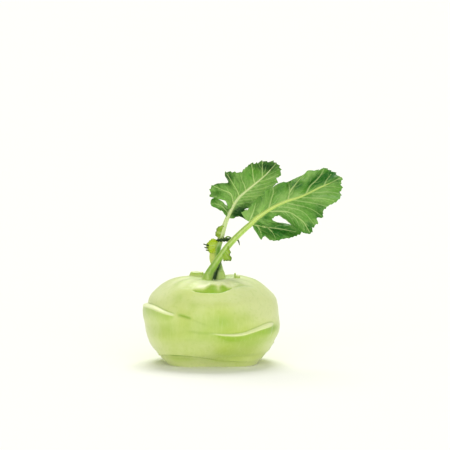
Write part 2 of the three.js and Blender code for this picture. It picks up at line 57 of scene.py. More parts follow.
class Region(Enum):
    """Parts of a blade as ranges of its rows' places, for veins that mark one part only."""

    UPPER = (0.0, 1.0)
    TIP = (0.9, 1.1)
    MAIN_LOWER = (1.0, 1.79)
    BASAL = (1.79, 2.0)
    LOW_LEFT = (0.0, 0.15)
    LEFT = (0.15, 1.0)
    RIGHT = (1.0, 2.0)


def bell(value: np.ndarray, centre: float, spread: float) -> np.ndarray:
    """A smooth bump of height 1: exp of minus the squared distance from its centre in spreads."""
    return np.exp(-(((value - centre) / spread) ** 2))


def smooth_step(low: float, high: float, value: np.ndarray) -> np.ndarray:
    """Rises from 0 at low to 1 at high as the cubic 3s^2 - 2s^3 of the share s between them."""
    share = np.clip((value - low) / (high - low), 0.0, 1.0)
    return share * share * (3.0 - 2.0 * share)


def spline(points: np.ndarray, places: np.ndarray, centripetal: bool = True) -> np.ndarray:
    """Reads a Catmull-Rom curve through points.

    Args:
        points: The curve's points, one a row.
        places: Where to read it, as point numbers with a fraction.
        centripetal: Whether knots are spaced by the square root of distance, which avoids loops, or evenly.

    Returns:
        One row for each place: the cubic between the two nearest points with their Catmull-Rom slopes.
    """
    points = np.asarray(points, float)
    ends = (2 * points[0] - points[1], 2 * points[-1] - points[-2]) if centripetal else (points[0], points[-1])
    padded = np.vstack([ends[0], points, ends[1]])
    low = np.clip(np.floor(places).astype(int), 0, len(points) - 2)
    share = (np.asarray(places, float) - low)[:, None]
    before, here, there, after = (padded[low + step] for step in range(4))
    if centripetal:
        gaps = [np.maximum(np.linalg.norm(b - a, axis=1)[:, None] ** 0.5, 1e-3)
                for a, b in ((before, here), (here, there), (there, after))]
        slope = ((here - before) / gaps[0] - (there - before) / (gaps[0] + gaps[1]) + (there - here) / gaps[1])
        slope_on = ((there - here) / gaps[1] - (after - here) / (gaps[1] + gaps[2]) + (after - there) / gaps[2])
        slope, slope_on = slope * gaps[1], slope_on * gaps[1]
    else:
        slope, slope_on = (there - before) / 2, (after - here) / 2
    square = -3 * here + 3 * there - 2 * slope - slope_on
    cube = 2 * here - 2 * there + slope + slope_on
    return here + slope * share + square * share**2 + cube * share**3


def unit(vectors: np.ndarray) -> np.ndarray:
    """Vectors along the last axis, divided by their lengths."""
    return vectors / np.maximum(np.linalg.norm(vectors, axis=-1, keepdims=True), 1e-9)


def run_along(points: np.ndarray) -> np.ndarray:
    """How far along a line of points each of them lies."""
    return np.concatenate([[0], np.cumsum(np.linalg.norm(np.diff(points, axis=0), axis=1))])


def full_turn(count: int) -> np.ndarray:
    """Evenly spaced angles of one full turn, in radians from 0."""
    return np.linspace(0, 2 * math.pi, count, endpoint=False)


def grid_normals(grid: np.ndarray) -> np.ndarray:
    """Direction across a grid of points: the cross product of the differences along its rows and columns."""
    return unit(np.cross(np.gradient(grid, axis=0), np.gradient(grid, axis=1)))


def ripple(across: np.ndarray, along: np.ndarray, seed: int, waves: int = 9, reach: float = 6.0) -> np.ndarray:
    """Gentle seeded unevenness between about -1 and 1: a mean of crossing sine waves of random turn.

    Args:
        across: First coordinate, which takes whole wave numbers so that it can be an angle in radians.
        along: Second coordinate.
        seed: Seed of the draw of waves.
        waves: How many waves are summed.
        reach: Largest wave number.

    Returns:
        The sum at each point, divided by the square root of half the number of waves.
    """
    draw = np.random.default_rng(seed)
    total = np.zeros(np.broadcast(across, along).shape)
    for _ in range(waves):
        numbers = draw.integers(1, int(reach) + 1), draw.uniform(-reach, reach)
        total += np.sin(numbers[0] * across + numbers[1] * along + draw.uniform(0, 2 * math.pi))
    return total / math.sqrt(waves / 2)


def grid_quads(rows: int, columns: int, wrap: bool = False) -> np.ndarray:
    """Faces of a grid of points numbered row by row.

    Args:
        rows: Number of rows of points.
        columns: Number of points in a row.
        wrap: Whether each row closes on itself.

    Returns:
        Four point numbers for each face.
    """
    row, column = np.meshgrid(np.arange(rows - 1), np.arange(columns if wrap else columns - 1), indexing="ij")
    following = (column + 1) % columns
    corners = [row * columns + column, row * columns + following,
               (row + 1) * columns + following, (row + 1) * columns + column]
    return np.stack([corner.ravel() for corner in corners], axis=1)


def fan_faces(centre: int, first: int, count: int, backwards: bool = False) -> np.ndarray:
    """Triangles that join one point to a ring of points.

    Args:
        centre: Number of the point.
        first: Number of the ring's first point.
        count: How many points the ring has.
        backwards: Whether the triangles face the other way.

    Returns:
        Three point numbers for each face.
    """
    ring = first + np.arange(count)
    sides = (np.roll(ring, -1), ring) if backwards else (ring, np.roll(ring, -1))
    return np.stack([np.full(count, centre), *sides], axis=1)


def sheet_faces(rows: int, columns: int) -> list[tuple[int, ...]]:
    """Faces of a closed sheet: a front grid, a back grid numbered after it, and a wall round their edge."""
    quads = grid_quads(rows, columns)
    behind = rows * columns
    rim = np.concatenate([
        np.arange(columns), np.arange(1, rows) * columns + columns - 1,
        (rows - 1) * columns + np.arange(columns - 2, -1, -1), np.arange(rows - 2, 0, -1) * columns,
    ])
    following = np.roll(rim, -1)
    wall = np.stack([following, rim, rim + behind, following + behind], axis=1)
    return np.vstack([quads, quads[:, ::-1] + behind, wall]).tolist()


def build_piece(name: str, points: np.ndarray, faces: list, values: dict[str, np.ndarray],
                material: bpy.types.Material) -> bpy.types.Object:
    """Makes a smooth mesh object at the origin.

    Args:
        name: The piece's name.
        points: Points in millimetres, one a row.
        faces: Faces as lists of point numbers.
        values: Numbers at the points that the material reads, by attribute name.
        material: The piece's finish.

    Returns:
        The new object, linked to the scene, with its faces turned outwards.
    """
    mesh = bpy.data.meshes.new(name)
    mesh.from_pydata((points * MM).tolist(), [], faces)
    for title, numbers in values.items():
        layer = mesh.attributes.new(title, "FLOAT", "POINT")
        layer.data.foreach_set("value", np.ascontiguousarray(numbers, np.float32).ravel())
    mesh.shade_smooth()
    mesh.materials.append(material)
    corners = points[np.array([face[:3] for face in faces])]
    volume = np.einsum("ij,ij->", corners[:, 0], np.cross(corners[:, 1], corners[:, 2]))
    if volume < 0:
        mesh.flip_normals()
    piece = bpy.data.objects.new(name, mesh)
    bpy.context.scene.collection.objects.link(piece)
    return piece


def ring_piece(name: str, grid: np.ndarray, marks: dict[str, np.ndarray],
               material: bpy.types.Material) -> bpy.types.Object:
    """Closes rings of points into a body, each end by a fan from the middle of its ring.

    Args:
        name: The piece's name.
        grid: The rings, one a row.
        marks: Numbers at the points by attribute name.
        material: The piece's finish.

    Returns:
        The piece's object.
    """
    rings, sides = grid.shape[:2]
    count = rings * sides
    faces = [grid_quads(rings, sides, wrap=True), fan_faces(count, 0, sides, backwards=True),
             fan_faces(count + 1, count - sides, sides)]
    points = np.vstack([grid.reshape(-1, 3), grid[0].mean(0), grid[-1].mean(0)])
    whole = {title: np.broadcast_to(mark, (rings, sides)) for title, mark in marks.items()}
    values = {title: np.append(mark.ravel(), [mark[0, 0], mark[-1, 0]]) for title, mark in whole.items()}
    return build_piece(name, points, [face for part in faces for face in part.tolist()], values, material)


def sheet_piece(name: str, front: np.ndarray, back: np.ndarray, marks: dict[str, np.ndarray | float],
                paler_back: bool, material: bpy.types.Material) -> bpy.types.Object:
    """Closes a front and a back grid of points into a thin body.

    Args:
        name: The piece's name.
        front: The front grid.
        back: The back grid, of the same size.
        marks: Numbers on the front and back alike, by attribute name.
        paler_back: Whether the back takes the finish's colour for backs.
        material: The piece's finish.

    Returns:
        The piece's object.
    """
    size = front.shape[:2]
    values = {title: np.tile((mark * np.ones(size)).ravel(), 2) for title, mark in marks.items()}
    values["back"] = np.repeat([0.0, float(paler_back)], size[0] * size[1])
    points = np.vstack([front.reshape(-1, 3), back.reshape(-1, 3)])
    return build_piece(name, points, sheet_faces(*size), values, material)


def dress(piece: bpy.types.Object, node: str) -> None:
    """Seats a piece on the body, in place of a CAD node, which it hides."""
    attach(piece, BODY)
    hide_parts(node)
    LOG.info("%s stands for %s with %d faces", piece.name, node, len(piece.data.polygons))


class Nodes:
    """Adds shader nodes to one tree and links them."""

    def __init__(self, tree: bpy.types.NodeTree) -> None:
        """Keeps the tree that nodes are added to."""
        self.tree = tree

    def fill(self, node: bpy.types.Node, inputs: dict) -> None:
        """Links or sets a node's inputs by name or number: a socket is linked, and any other value is set."""
        for key, value in inputs.items():
            if isinstance(value, bpy.types.NodeSocket):
                self.tree.links.new(value, node.inputs[key])
            else:
                node.inputs[key].default_value = value

    def add(self, kind: str, inputs: dict | None = None, **settings: object) -> bpy.types.Node:
        """Adds a node of a kind, with settings as its properties and inputs by name or number."""
        node = self.tree.nodes.new(kind)
        for title, value in settings.items():
            setattr(node, title, value)
        self.fill(node, inputs or {})
        return node

    def value(self, title: str) -> bpy.types.NodeSocket:
        """The piece's own attribute, read as a number."""
        return self.add("ShaderNodeAttribute", attribute_name=title).outputs["Fac"]

    def mix(self, share: object, first: object, second: object) -> bpy.types.NodeSocket:
        """A mix of two colours by a share."""
        return self.add("ShaderNodeMix", {0: share, 6: first, 7: second}, data_type="RGBA").outputs[2]

    def layers(self, colour: object, tints: dict[str, tuple]) -> bpy.types.NodeSocket:
        """Lays tints over a colour in turn, each as strongly as the piece's attribute of its name says."""
        for title, tint in tints.items():
            colour = self.mix(self.value(title), colour, tint)
        return colour

    def math(self, operation: str, first: object, second: object) -> bpy.types.NodeSocket:
        """Arithmetic on two numbers, kept between 0 and 1."""
        return self.add("ShaderNodeMath", {0: first, 1: second}, operation=operation, use_clamp=True).outputs[0]

    def vector(self, operation: str, first: object, second: object) -> bpy.types.NodeSocket:
        """Arithmetic on two vectors, or on a vector and the number that scales it."""
        other = "Scale" if operation == "SCALE" else 1
        return self.add("ShaderNodeVectorMath", {0: first, other: second}, operation=operation).outputs[0]

    def span(self, value: object, low: float, high: object, to_low: float = 0.0,
             to_high: float = 1.0) -> bpy.types.NodeSocket:
        """Carries a number from one range to another, kept within it."""
        inputs = {"Value": value, "From Min": low, "From Max": high, "To Min": to_low, "To Max": to_high}
        return self.add("ShaderNodeMapRange", inputs).outputs["Result"]

    def noise(self, place: object, scale: object, detail: float = 2.0,
              rough: float = 0.5) -> bpy.types.NodeSocket:
        """Cloudy noise between 0 and 1."""
        inputs = {"Vector": place, "Scale": scale, "Detail": detail, "Roughness": rough}
        return self.add("ShaderNodeTexNoise", inputs).outputs["Fac"]

    def bump(self, height: object, strength: float, distance: float) -> bpy.types.NodeSocket:
        """Shading of a surface raised by a height between 0 and 1, with its distance in millimetres."""
        inputs = {"Height": height, "Strength": strength, "Distance": distance * MM}
        return self.add("ShaderNodeBump", inputs).outputs["Normal"]

    def group(self, tree: bpy.types.NodeTree, inputs: dict) -> bpy.types.Node:
        """Places a shared effect with its own values."""
        return self.add("ShaderNodeGroup", inputs, node_tree=tree)


def new_effect(name: str, inputs: dict[str, float | None], outputs: tuple[str, ...]
               ) -> tuple[bpy.types.NodeTree, Nodes, bpy.types.Node, bpy.types.Node]:
    """Starts a shader node group.

    Args:
        name: The effect's name.
        inputs: Named inputs with their first values; None makes a vector input.
        outputs: Names of the numbers it gives.

    Returns:
        The tree, its node helper, its input node and its output node.
    """
    tree = bpy.data.node_groups.new(name, "ShaderNodeTree")
    for title, value in inputs.items():
        kind = "NodeSocketVector" if value is None else "NodeSocketFloat"
        socket = tree.interface.new_socket(title, in_out="INPUT", socket_type=kind)
        if value is not None:
            socket.default_value = value
    for title in outputs:
        tree.interface.new_socket(title, in_out="OUTPUT", socket_type="NodeSocketFloat")
    nodes = Nodes(tree)
    return tree, nodes, nodes.add("NodeGroupInput"), nodes.add("NodeGroupOutput")


def mottle_effect() -> bpy.types.NodeTree:
    """Broad clouds and a finer grain: two noises, each stretched to the full range."""
    tree, nodes, given, result = new_effect("mottle", {"Vector": None, "Broad": 30.0, "Fine": 200.0},
                                            ("Cloud", "Grain"))
    place = given.outputs["Vector"]
    broad = nodes.noise(place, given.outputs["Broad"], 3.0)
    fine = nodes.noise(place, given.outputs["Fine"], 5.0, 0.62)
    nodes.fill(result, {"Cloud": nodes.span(broad, 0.34, 0.66), "Grain": nodes.span(fine, 0.3, 0.7)})
    return tree


def net_effect() -> bpy.types.NodeTree:
    """A net of fine veins: lines where Voronoi cells meet, with their places shaken by a little noise."""
    tree, nodes, given, result = new_effect("vein_net", {"Vector": None, "Cells": 300.0, "Width": 0.08},
                                            ("Net", "Bulge"))
    place = given.outputs["Vector"]
    shake = nodes.vector("SUBTRACT", nodes.noise(place, 260.0).node.outputs["Color"], (0.5, 0.5, 0.5))
    shaken = nodes.vector("ADD", place, nodes.vector("SCALE", shake, 2.2 * MM))
    cells = nodes.add("ShaderNodeTexVoronoi", {"Vector": shaken, "Scale": given.outputs["Cells"]},
                      feature="DISTANCE_TO_EDGE")
    far = cells.outputs["Distance"]
    line = nodes.span(far, 0.0, given.outputs["Width"], 1.0, 0.0)
    nodes.fill(result, {"Net": line, "Bulge": nodes.span(far, 0.0, 0.4)})
    return tree


def streak_effect() -> bpy.types.NodeTree:
    """Fine fibres along a piece: noise that is stretched along the third coordinate."""
    tree, nodes, given, result = new_effect("fibres", {"Vector": None, "Count": 900.0, "Stretch": 0.06},
                                            ("Fibre",))
    stretch = nodes.add("ShaderNodeCombineXYZ", {0: 1.0, 1: 1.0, 2: given.outputs["Stretch"]})
    narrow = nodes.vector("MULTIPLY", given.outputs["Vector"], stretch.outputs[0])
    fibre = nodes.noise(narrow, given.outputs["Count"], 3.0, 0.6)
    nodes.fill(result, {"Fibre": nodes.span(fibre, 0.32, 0.68)})
    return tree


def new_material(name: str) -> tuple[bpy.types.Material, Nodes, bpy.types.Node, bpy.types.NodeSocket]:
    """Starts a material: the material, its node helper, its Principled shader and its object coordinates."""
    material = bpy.data.materials.new(name)
    material.use_nodes = True
    nodes = Nodes(material.node_tree)
    shader = material.node_tree.nodes["Principled BSDF"]
    return material, nodes, shader, nodes.add("ShaderNodeTexCoord").outputs["Object"]


def from_bytes(red: int, green: int, blue: int) -> tuple[float, float, float, float]:
    """A screen colour of 0 to 255 a channel as the linear colour that shaders use."""
    shares = np.array([red, green, blue]) / 255.0
    linear = np.where(shares <= 0.04045, shares / 12.92, ((shares + 0.055) / 1.055) ** 2.4)
    return (*linear.tolist(), 1.0)


@dataclass(frozen=True)
class FleshFinish:
    """Waxy skin of the swollen stem, with a grainy cut base. Its lips are pale, partly as scar skin and partly
    as painted light on faces turned up to the light; its creases are deep green as painted shade.
    """

    # The flesh's own light tone; through the paleness patches it also carries painted light on the rims,
    # shoulders and foot
    pale: tuple = from_bytes(224, 233, 162)
    middle: tuple = from_bytes(192, 211, 82)
    # The flesh's own deeper green; through the greenness patches it also carries painted shade under the lips
    # and between the stalks
    green: tuple = from_bytes(162, 198, 54)
    # Lip bands: paler scar skin, lightened further as painted light on faces turned up to the light
    lip: tuple = from_bytes(237, 246, 180)
    # Painted shade in the grooves above the lips, in the creases and under the hollow's flap
    crease: tuple = from_bytes(134, 174, 10)
    # Bright green inside the hollow under the crown's flap: partly its own tissue and partly painted shade
    hollow: tuple = from_bytes(150, 194, 0)
    cut: tuple = from_bytes(232, 236, 198)
    fibre_tint: float = 0.16
    grain_tint: float = 0.18
    cut_tint: float = 0.5
    roughness: tuple = (0.36, 0.52)
    pore_depth: float = 0.22
    dent_depth: float = 0.5

    def build(self, mottle: bpy.types.NodeTree, fibres: bpy.types.NodeTree) -> bpy.types.Material:
        """Mixes the colours by clouds and by the skin's own attributes, with pores and dents in the bump.

        Args:
            mottle: The shared cloud effect.
            fibres: The shared fibre effect.

        Returns:
            The finished material.
        """
        material, nodes, shader, place = new_material("kohlrabi_flesh")
        clouds = nodes.group(mottle, {"Vector": place, "Broad": 34.0, "Fine": 420.0})
        strands = nodes.group(fibres, {"Vector": place, "Count": 620.0, "Stretch": 0.14})
        cloud, grain, fibre = clouds.outputs["Cloud"], clouds.outputs["Grain"], strands.outputs["Fibre"]
        colour = nodes.mix(nodes.span(cloud, 0, 1, 0.1, 0.85), self.pale, self.middle)
        colour = nodes.layers(colour, {"paleness": self.pale, "greenness": self.green})
        colour = nodes.mix(nodes.span(fibre, 0.5, 1, 0, self.fibre_tint), colour, self.pale)
        colour = nodes.mix(nodes.span(grain, 0.55, 1, 0, self.grain_tint), colour, self.green)
        # Hollow and crease lay painted shade, lip lays painted light over paler scar skin, and cut is the cut
        # base's own colour
        colour = nodes.layers(colour, {"hollow": self.hollow, "crease": self.crease, "lip": self.lip,
                                       "cut": self.cut})
        grainy_cut = nodes.math("MULTIPLY", nodes.value("cut"), nodes.span(grain, 0.4, 1, 0, self.cut_tint))
        pores = nodes.math("MULTIPLY", nodes.noise(place, 1500.0), self.pore_depth)
        dents = nodes.math("MULTIPLY", nodes.noise(place, 170.0, 3.0), self.dent_depth)
        nodes.fill(shader, {
            "Base Color": nodes.mix(grainy_cut, colour, self.middle),
            "Roughness": nodes.span(grain, 0, 1, *self.roughness),
            "Subsurface Weight": 0.16, "Subsurface Radius": (1.0, 0.9, 0.35), "Subsurface Scale": 3 * MM,
            "Coat Weight": 0.06, "Coat Roughness": 0.4, "Sheen Weight": 0.25, "Sheen Roughness": 0.5,
            "Normal": nodes.bump(nodes.math("ADD", pores, dents), 0.35, 0.5),
        })
        return material


@dataclass(frozen=True)
class StalkFinish:
    """Smooth juicy stalk and midrib, with tints by the stalk's own attributes and fine darker fibres.

    The attribute flute turns the middle green pale, and foot, rib, wing, root and gap lay their own tints
    over it. Gap is painted shadow beside the other stalk, and foot's deep green is painted shade where it
    lies under the rear stalk's leaflets.
    """

    name: str
    pale: tuple = from_bytes(206, 228, 142)
    middle: tuple = from_bytes(166, 206, 76)
    deep: tuple = from_bytes(80, 146, 8)
    rib: tuple = from_bytes(212, 231, 124)
    wing: tuple = from_bytes(208, 220, 112)
    root: tuple = from_bytes(192, 218, 104)
    # Near-black green of the painted shadow in the gap beside the other stalk
    gap: tuple = from_bytes(10, 66, 10)
    fibre_tint: float = 0.35
    cloud_tint: float = 0.2
    roughness: tuple = (0.32, 0.48)

    def build(self, mottle: bpy.types.NodeTree, fibres: bpy.types.NodeTree) -> bpy.types.Material:
        """Mixes the colours by the stalk's attributes, by fine fibres and by clouds.

        Args:
            mottle: The shared cloud effect.
            fibres: The shared fibre effect.

        Returns:
            The finished material.
        """
        material, nodes, shader, place = new_material(self.name)
        clouds = nodes.group(mottle, {"Vector": place, "Broad": 90.0, "Fine": 700.0})
        strands = nodes.group(fibres, {"Vector": place, "Count": 1300.0, "Stretch": 0.1})
        fibre = strands.outputs["Fibre"]
        colour = nodes.mix(nodes.value("flute"), self.middle, self.pale)
        colour = nodes.mix(nodes.span(fibre, 0.3, 1, 0, self.fibre_tint), colour, self.deep)
        # Foot's deep green is painted shade on the rear stalk under its leaflets; gap is painted shadow between
        # the stalks
        colour = nodes.layers(colour, {"foot": self.deep, "rib": self.rib, "wing": self.wing, "root": self.root,
                                       "gap": self.gap})
        cloudy = nodes.span(clouds.outputs["Cloud"], 0.3, 1, 0, self.cloud_tint)
        nodes.fill(shader, {
            "Base Color": nodes.mix(cloudy, colour, self.middle),
            "Roughness": nodes.span(clouds.outputs["Grain"], 0, 1, *self.roughness),
            "Subsurface Weight": 0.2, "Subsurface Radius": (0.9, 1.0, 0.3), "Subsurface Scale": 1.5 * MM,
            "Normal": nodes.bump(fibre, 0.3, 0.25),
        })
        return material


@dataclass(frozen=True)
class BladeFinish:
    """Leaf blade: pale veins and a fine net on green, deeper green as painted shade in its folds and paler in
    patches partly as painted sheen, greyer and paler on the back.
    """

    name: str
    light: tuple = from_bytes(150, 194, 100)
    middle: tuple = from_bytes(78, 151, 30)
    # Deep green of the painted shade in folds, under the midribs and on set-back lobes; the grain also uses it
    deep: tuple = from_bytes(24, 104, 4)
    bright: tuple = from_bytes(104, 168, 36)
    vein: tuple = from_bytes(208, 230, 150)
    back: tuple = from_bytes(146, 180, 110)
    net_cells: float = 330.0
    fine_cells_ratio: float = 2.6
    net_tint: float = 0.08
    fine_net_tint: float = 0.04
    grain_tint: float = 0.14
    back_tint: float = 0.75
    roughness: tuple = (0.36, 0.56)

    def build(self, mottle: bpy.types.NodeTree, net: bpy.types.NodeTree) -> bpy.types.Material:
        """Mixes the colours by clouds, by the blade's own attributes and by the net of fine veins.

        Args:
            mottle: The shared cloud effect.
            net: The shared net of fine veins.

        Returns:
            The finished material.
        """
        material, nodes, shader, place = new_material(self.name)
        clouds = nodes.group(mottle, {"Vector": place, "Broad": 85.0, "Fine": 900.0})
        mesh = nodes.group(net, {"Vector": place, "Cells": self.net_cells, "Width": 0.07})
        fine_cells = self.net_cells * self.fine_cells_ratio
        fine = nodes.group(net, {"Vector": place, "Cells": fine_cells, "Width": 0.1}).outputs["Net"]
        cloud = clouds.outputs["Cloud"]
        colour = nodes.mix(nodes.span(cloud, 0, 1, 0.15, 0.9), self.light, self.middle)
        # Darkness lays painted shade along with the leaf's own darker green; paleness lays its paler tone along
        # with painted sheen and light
        colour = nodes.layers(colour, {"brightness": self.bright, "paleness": self.light,
                                       "darkness": self.deep})
        for share, tint in ((nodes.span(clouds.outputs["Grain"], 0.5, 1, 0, self.grain_tint), self.deep),
                            (nodes.math("MULTIPLY", fine, self.fine_net_tint), self.vein),
                            (nodes.math("MULTIPLY", mesh.outputs["Net"], self.net_tint), self.vein),
                            (nodes.math("MULTIPLY", nodes.value("back"), self.back_tint), self.back)):
            colour = nodes.mix(share, colour, tint)
        height = nodes.math("SUBTRACT", mesh.outputs["Bulge"], nodes.math("MULTIPLY", fine, 0.25))
        nodes.fill(shader, {
            "Base Color": nodes.layers(colour, {"vein": self.vein}),
            "Roughness": nodes.span(cloud, 0, 1, *self.roughness), "Specular IOR Level": 0.22,
            "Subsurface Weight": 0.12, "Subsurface Radius": (0.5, 1.0, 0.2), "Subsurface Scale": 0.8 * MM,
            "Normal": nodes.bump(height, 0.55, 0.35),
        })
        return material


@dataclass(frozen=True)
class FloorFinish:
    """Plain pale floor with the faintest unevenness."""

    colour: tuple = (0.96, 0.96, 0.89, 1.0)

    def build(self) -> bpy.types.Material:
        """A matt shader with a soft change in roughness."""
        material, nodes, shader, place = new_material("pale_floor")
        rough = nodes.span(nodes.noise(place, 3.0), 0, 1, 0.85, 0.95)
        nodes.fill(shader, {"Base Color": self.colour, "Specular IOR Level": 0.0, "Roughness": rough})
        return material


def read_line(stations: tuple, degrees: np.ndarray) -> tuple[np.ndarray, ...]:
    """Reads a line laid round the stem at given angles.

    Args:
        stations: Its points, with the angle in degrees first, joined by an even Catmull-Rom curve.
        degrees: Where to read it.

    Returns:
        The other columns at those angles, and how far in from its ends each angle is, in degrees.
    """
    table = np.array(stations, float)
    route = spline(table, np.linspace(0, len(table) - 1, 400), centripetal=False)
    middle = (table[0, 0] + table[-1, 0]) / 2
    angle = (degrees - middle + 180) % 360 - 180 + middle
    inside = np.minimum(angle - table[0, 0], table[-1, 0] - angle)
    return tuple(np.interp(angle, route[:, 0], column) for column in route[:, 1:].T) + (inside,)


@dataclass(frozen=True)
class Scar:
    """A step in the flesh where a leaf was: stations of (angle, height, how far it stands out, lip's width)."""

    stations: tuple
    hangs: bool = False
    paleness: float = 1.0
    run_start: float = 3.0
    run_growth: float = 4.0
    bead: float = 0.3
    groove: float = 0.28
    # Strengths of painted shade: in the groove above the lip, and on the skin past its rim
    groove_shade: float = 0.35
    rim_shade: float = 0.55

    def press(self, height: np.ndarray, slope: np.ndarray, degrees: np.ndarray,
              marks: dict[str, np.ndarray]) -> np.ndarray:
        """Works out the step's push and adds to the marks.

        The distance from the step's line is measured along the skin. The push rises across the lip, rounds
        off with a small bead at the rim, and falls along the run as a smooth step. A fine groove lies along
        the foot of the lip, darkened as painted shade. The lip's band is pale, partly as scar skin and partly
        as painted light, and the skin past the rim is greener as painted shade under the lip.

        Args:
            height: Height of each point of the skin.
            slope: How steeply the skin rises there, as a share of its length.
            degrees: The angle of each point.
            marks: The marks of the skin, which the step adds to.

        Returns:
            How far the step pushes each point out.
        """
        line, stand, lip, inside = read_line(self.stations, degrees)
        stand = np.where(inside > 0, np.maximum(stand, 0), 0)
        half = np.maximum(lip, 0.5) / 2
        away = (1 if self.hangs else -1) * (height - line) / np.maximum(slope, 0.3)
        face = np.sin(np.pi / 2 * np.clip((away + half) / (2 * half), 0, 1))
        run = self.run_start + self.run_growth * stand
        back = np.clip((away - half) / (run - half), 0, 1)
        push = stand * np.where(away < half, face, 1 - smooth_step(0, 1, back**1.1))
        strength = smooth_step(0.05, 0.7, stand)
        push += strength * self.bead * bell(away, half * 0.7, 0.35 + half * 0.4)
        push -= strength * self.groove * bell(away, -half - 0.2, 0.45)
        # The lip's band is pale partly as scar skin and partly as painted light; the groove and the skin past
        # the rim take painted shade
        band = smooth_step(-half - 0.3, -half + 0.4, away) * (1 - smooth_step(half * 0.8, half + 0.7, away))
        marks["lip"] = np.maximum(marks["lip"], self.paleness * band * strength)
        foot = self.groove_shade * strength * bell(away, -half - 0.35, 0.4)
        marks["crease"] = np.maximum(marks["crease"], foot)
        if not self.hangs:
            rim = smooth_step(half, half + 0.9, away) * (1 - smooth_step(half + 0.9, run * 0.8, away))
            marks["greenness"] += self.rim_shade * rim * strength
        return push


@dataclass(frozen=True)
class Crease:
    """A short groove darkened with painted shade: stations of angle and height, its depth, half width, darkness
    of the painted shade and fading ends.
    """

    stations: tuple
    depth: float
    width: float
    darkness: float
    fade: float = 4.0

    def press(self, height: np.ndarray, degrees: np.ndarray, marks: dict[str, np.ndarray]) -> np.ndarray:
        """The groove's push, a bell across its line that fades in from both ends."""
        line, inside = read_line(self.stations, degrees)
        groove = bell(height, line, self.width) * smooth_step(0, self.fade, inside)
        # Painted shade along the groove
        marks["crease"] = np.maximum(marks["crease"], self.darkness * groove)
        return -self.depth * groove


@dataclass(frozen=True)
class Hollow:
    """The crescent under the crown's flap: stations of its lower and upper edge by angle, and its depth."""

    lower: tuple = ((-24, 52.3), (-20, 51.9), (-15, 51.6), (-8, 51.5), (-3, 51.5), (4, 51.6), (9, 51.8),
                    (14, 52.4), (19, 53.2), (27, 54))
    upper: tuple = ((-24, 52.4), (-20, 52.5), (-16, 52.8), (-11, 53.1), (-8, 53.5), (-5, 54.5), (-1, 55.5),
                    (2, 55.7), (5.2, 55.6), (9.8, 55.2), (14, 55.8), (17, 55.5), (20.5, 54.5), (27, 54.1))
    depth: float = 1.35
    flap: float = 0.6
    flap_paleness: float = 0.75
    inner_radius: float = 22.0
    # The pale trace down from the flap and the two lobes darkened as painted shade under the flap, as (angle,
    # spread) in degrees
    trace: tuple = (8.2, 2.1)
    lobes: tuple = ((0.5, 4), (15.5, 3.4))
    lobe_shade: float = 0.4

    def press(self, height: np.ndarray, radius: np.ndarray, degrees: np.ndarray,
              marks: dict[str, np.ndarray]) -> np.ndarray:
        """Sinks the skin between the edges under a flap that stands out a little.

        It is deepest along its lower edge and shallower towards the flap. The lower edge is sharp at both
        ends and soft between them, and a pale trace runs down from the flap.

        Args:
            height: Height of each point of the skin.
            radius: Its distance from the axis.
            degrees: The angle of each point.
            marks: The marks of the skin, which the hollow adds to.

        Returns:
            How far the hollow pushes each point out.
        """
        low, inside = read_line(self.lower, degrees)
        high, _ = read_line(self.upper, degrees)
        tall = np.maximum(high - low, 0.3)
        share = (height - low) / tall
        ends = smooth_step(0, 9, inside)
        soft = 0.3 + 0.5 * np.clip(tall / 4.5, 0, 1)
        within = smooth_step(-soft * 0.5, soft, height - low) * (1 - smooth_step(-0.45, 0.4, height - high))
        within = within * (inside > 0)
        outside = radius > self.inner_radius
        trace = bell(degrees, *self.trace) * smooth_step(0.1, 0.85, share)
        above = smooth_step(-0.2, 0.5, height - high) * (1 - smooth_step(1.2, 4.5, height - high))
        # The hollow's green is partly its own tissue and partly painted shade under the flap; the lobes add
        # painted shade
        green = within * (1 - 0.7 * trace) * smooth_step(0, 3, inside)
        lobes = sum(bell(degrees, angle, spread) for angle, spread in self.lobes)
        marks["hollow"] = np.maximum(marks["hollow"], outside * green * (0.8 + 0.2 * np.clip(lobes, 0, 1)))
        dark = self.lobe_shade * green * lobes * smooth_step(0.3, 0.9, share)
        marks["crease"] = np.maximum(marks["crease"], dark)
        marks["paleness"] += self.flap_paleness * above * ends
        dip = np.clip(1.3 - np.clip(share, 0, 1), 0, 1)
        return outside * ends * (self.flap * above - self.depth * within * dip * (1 - 0.5 * trace))


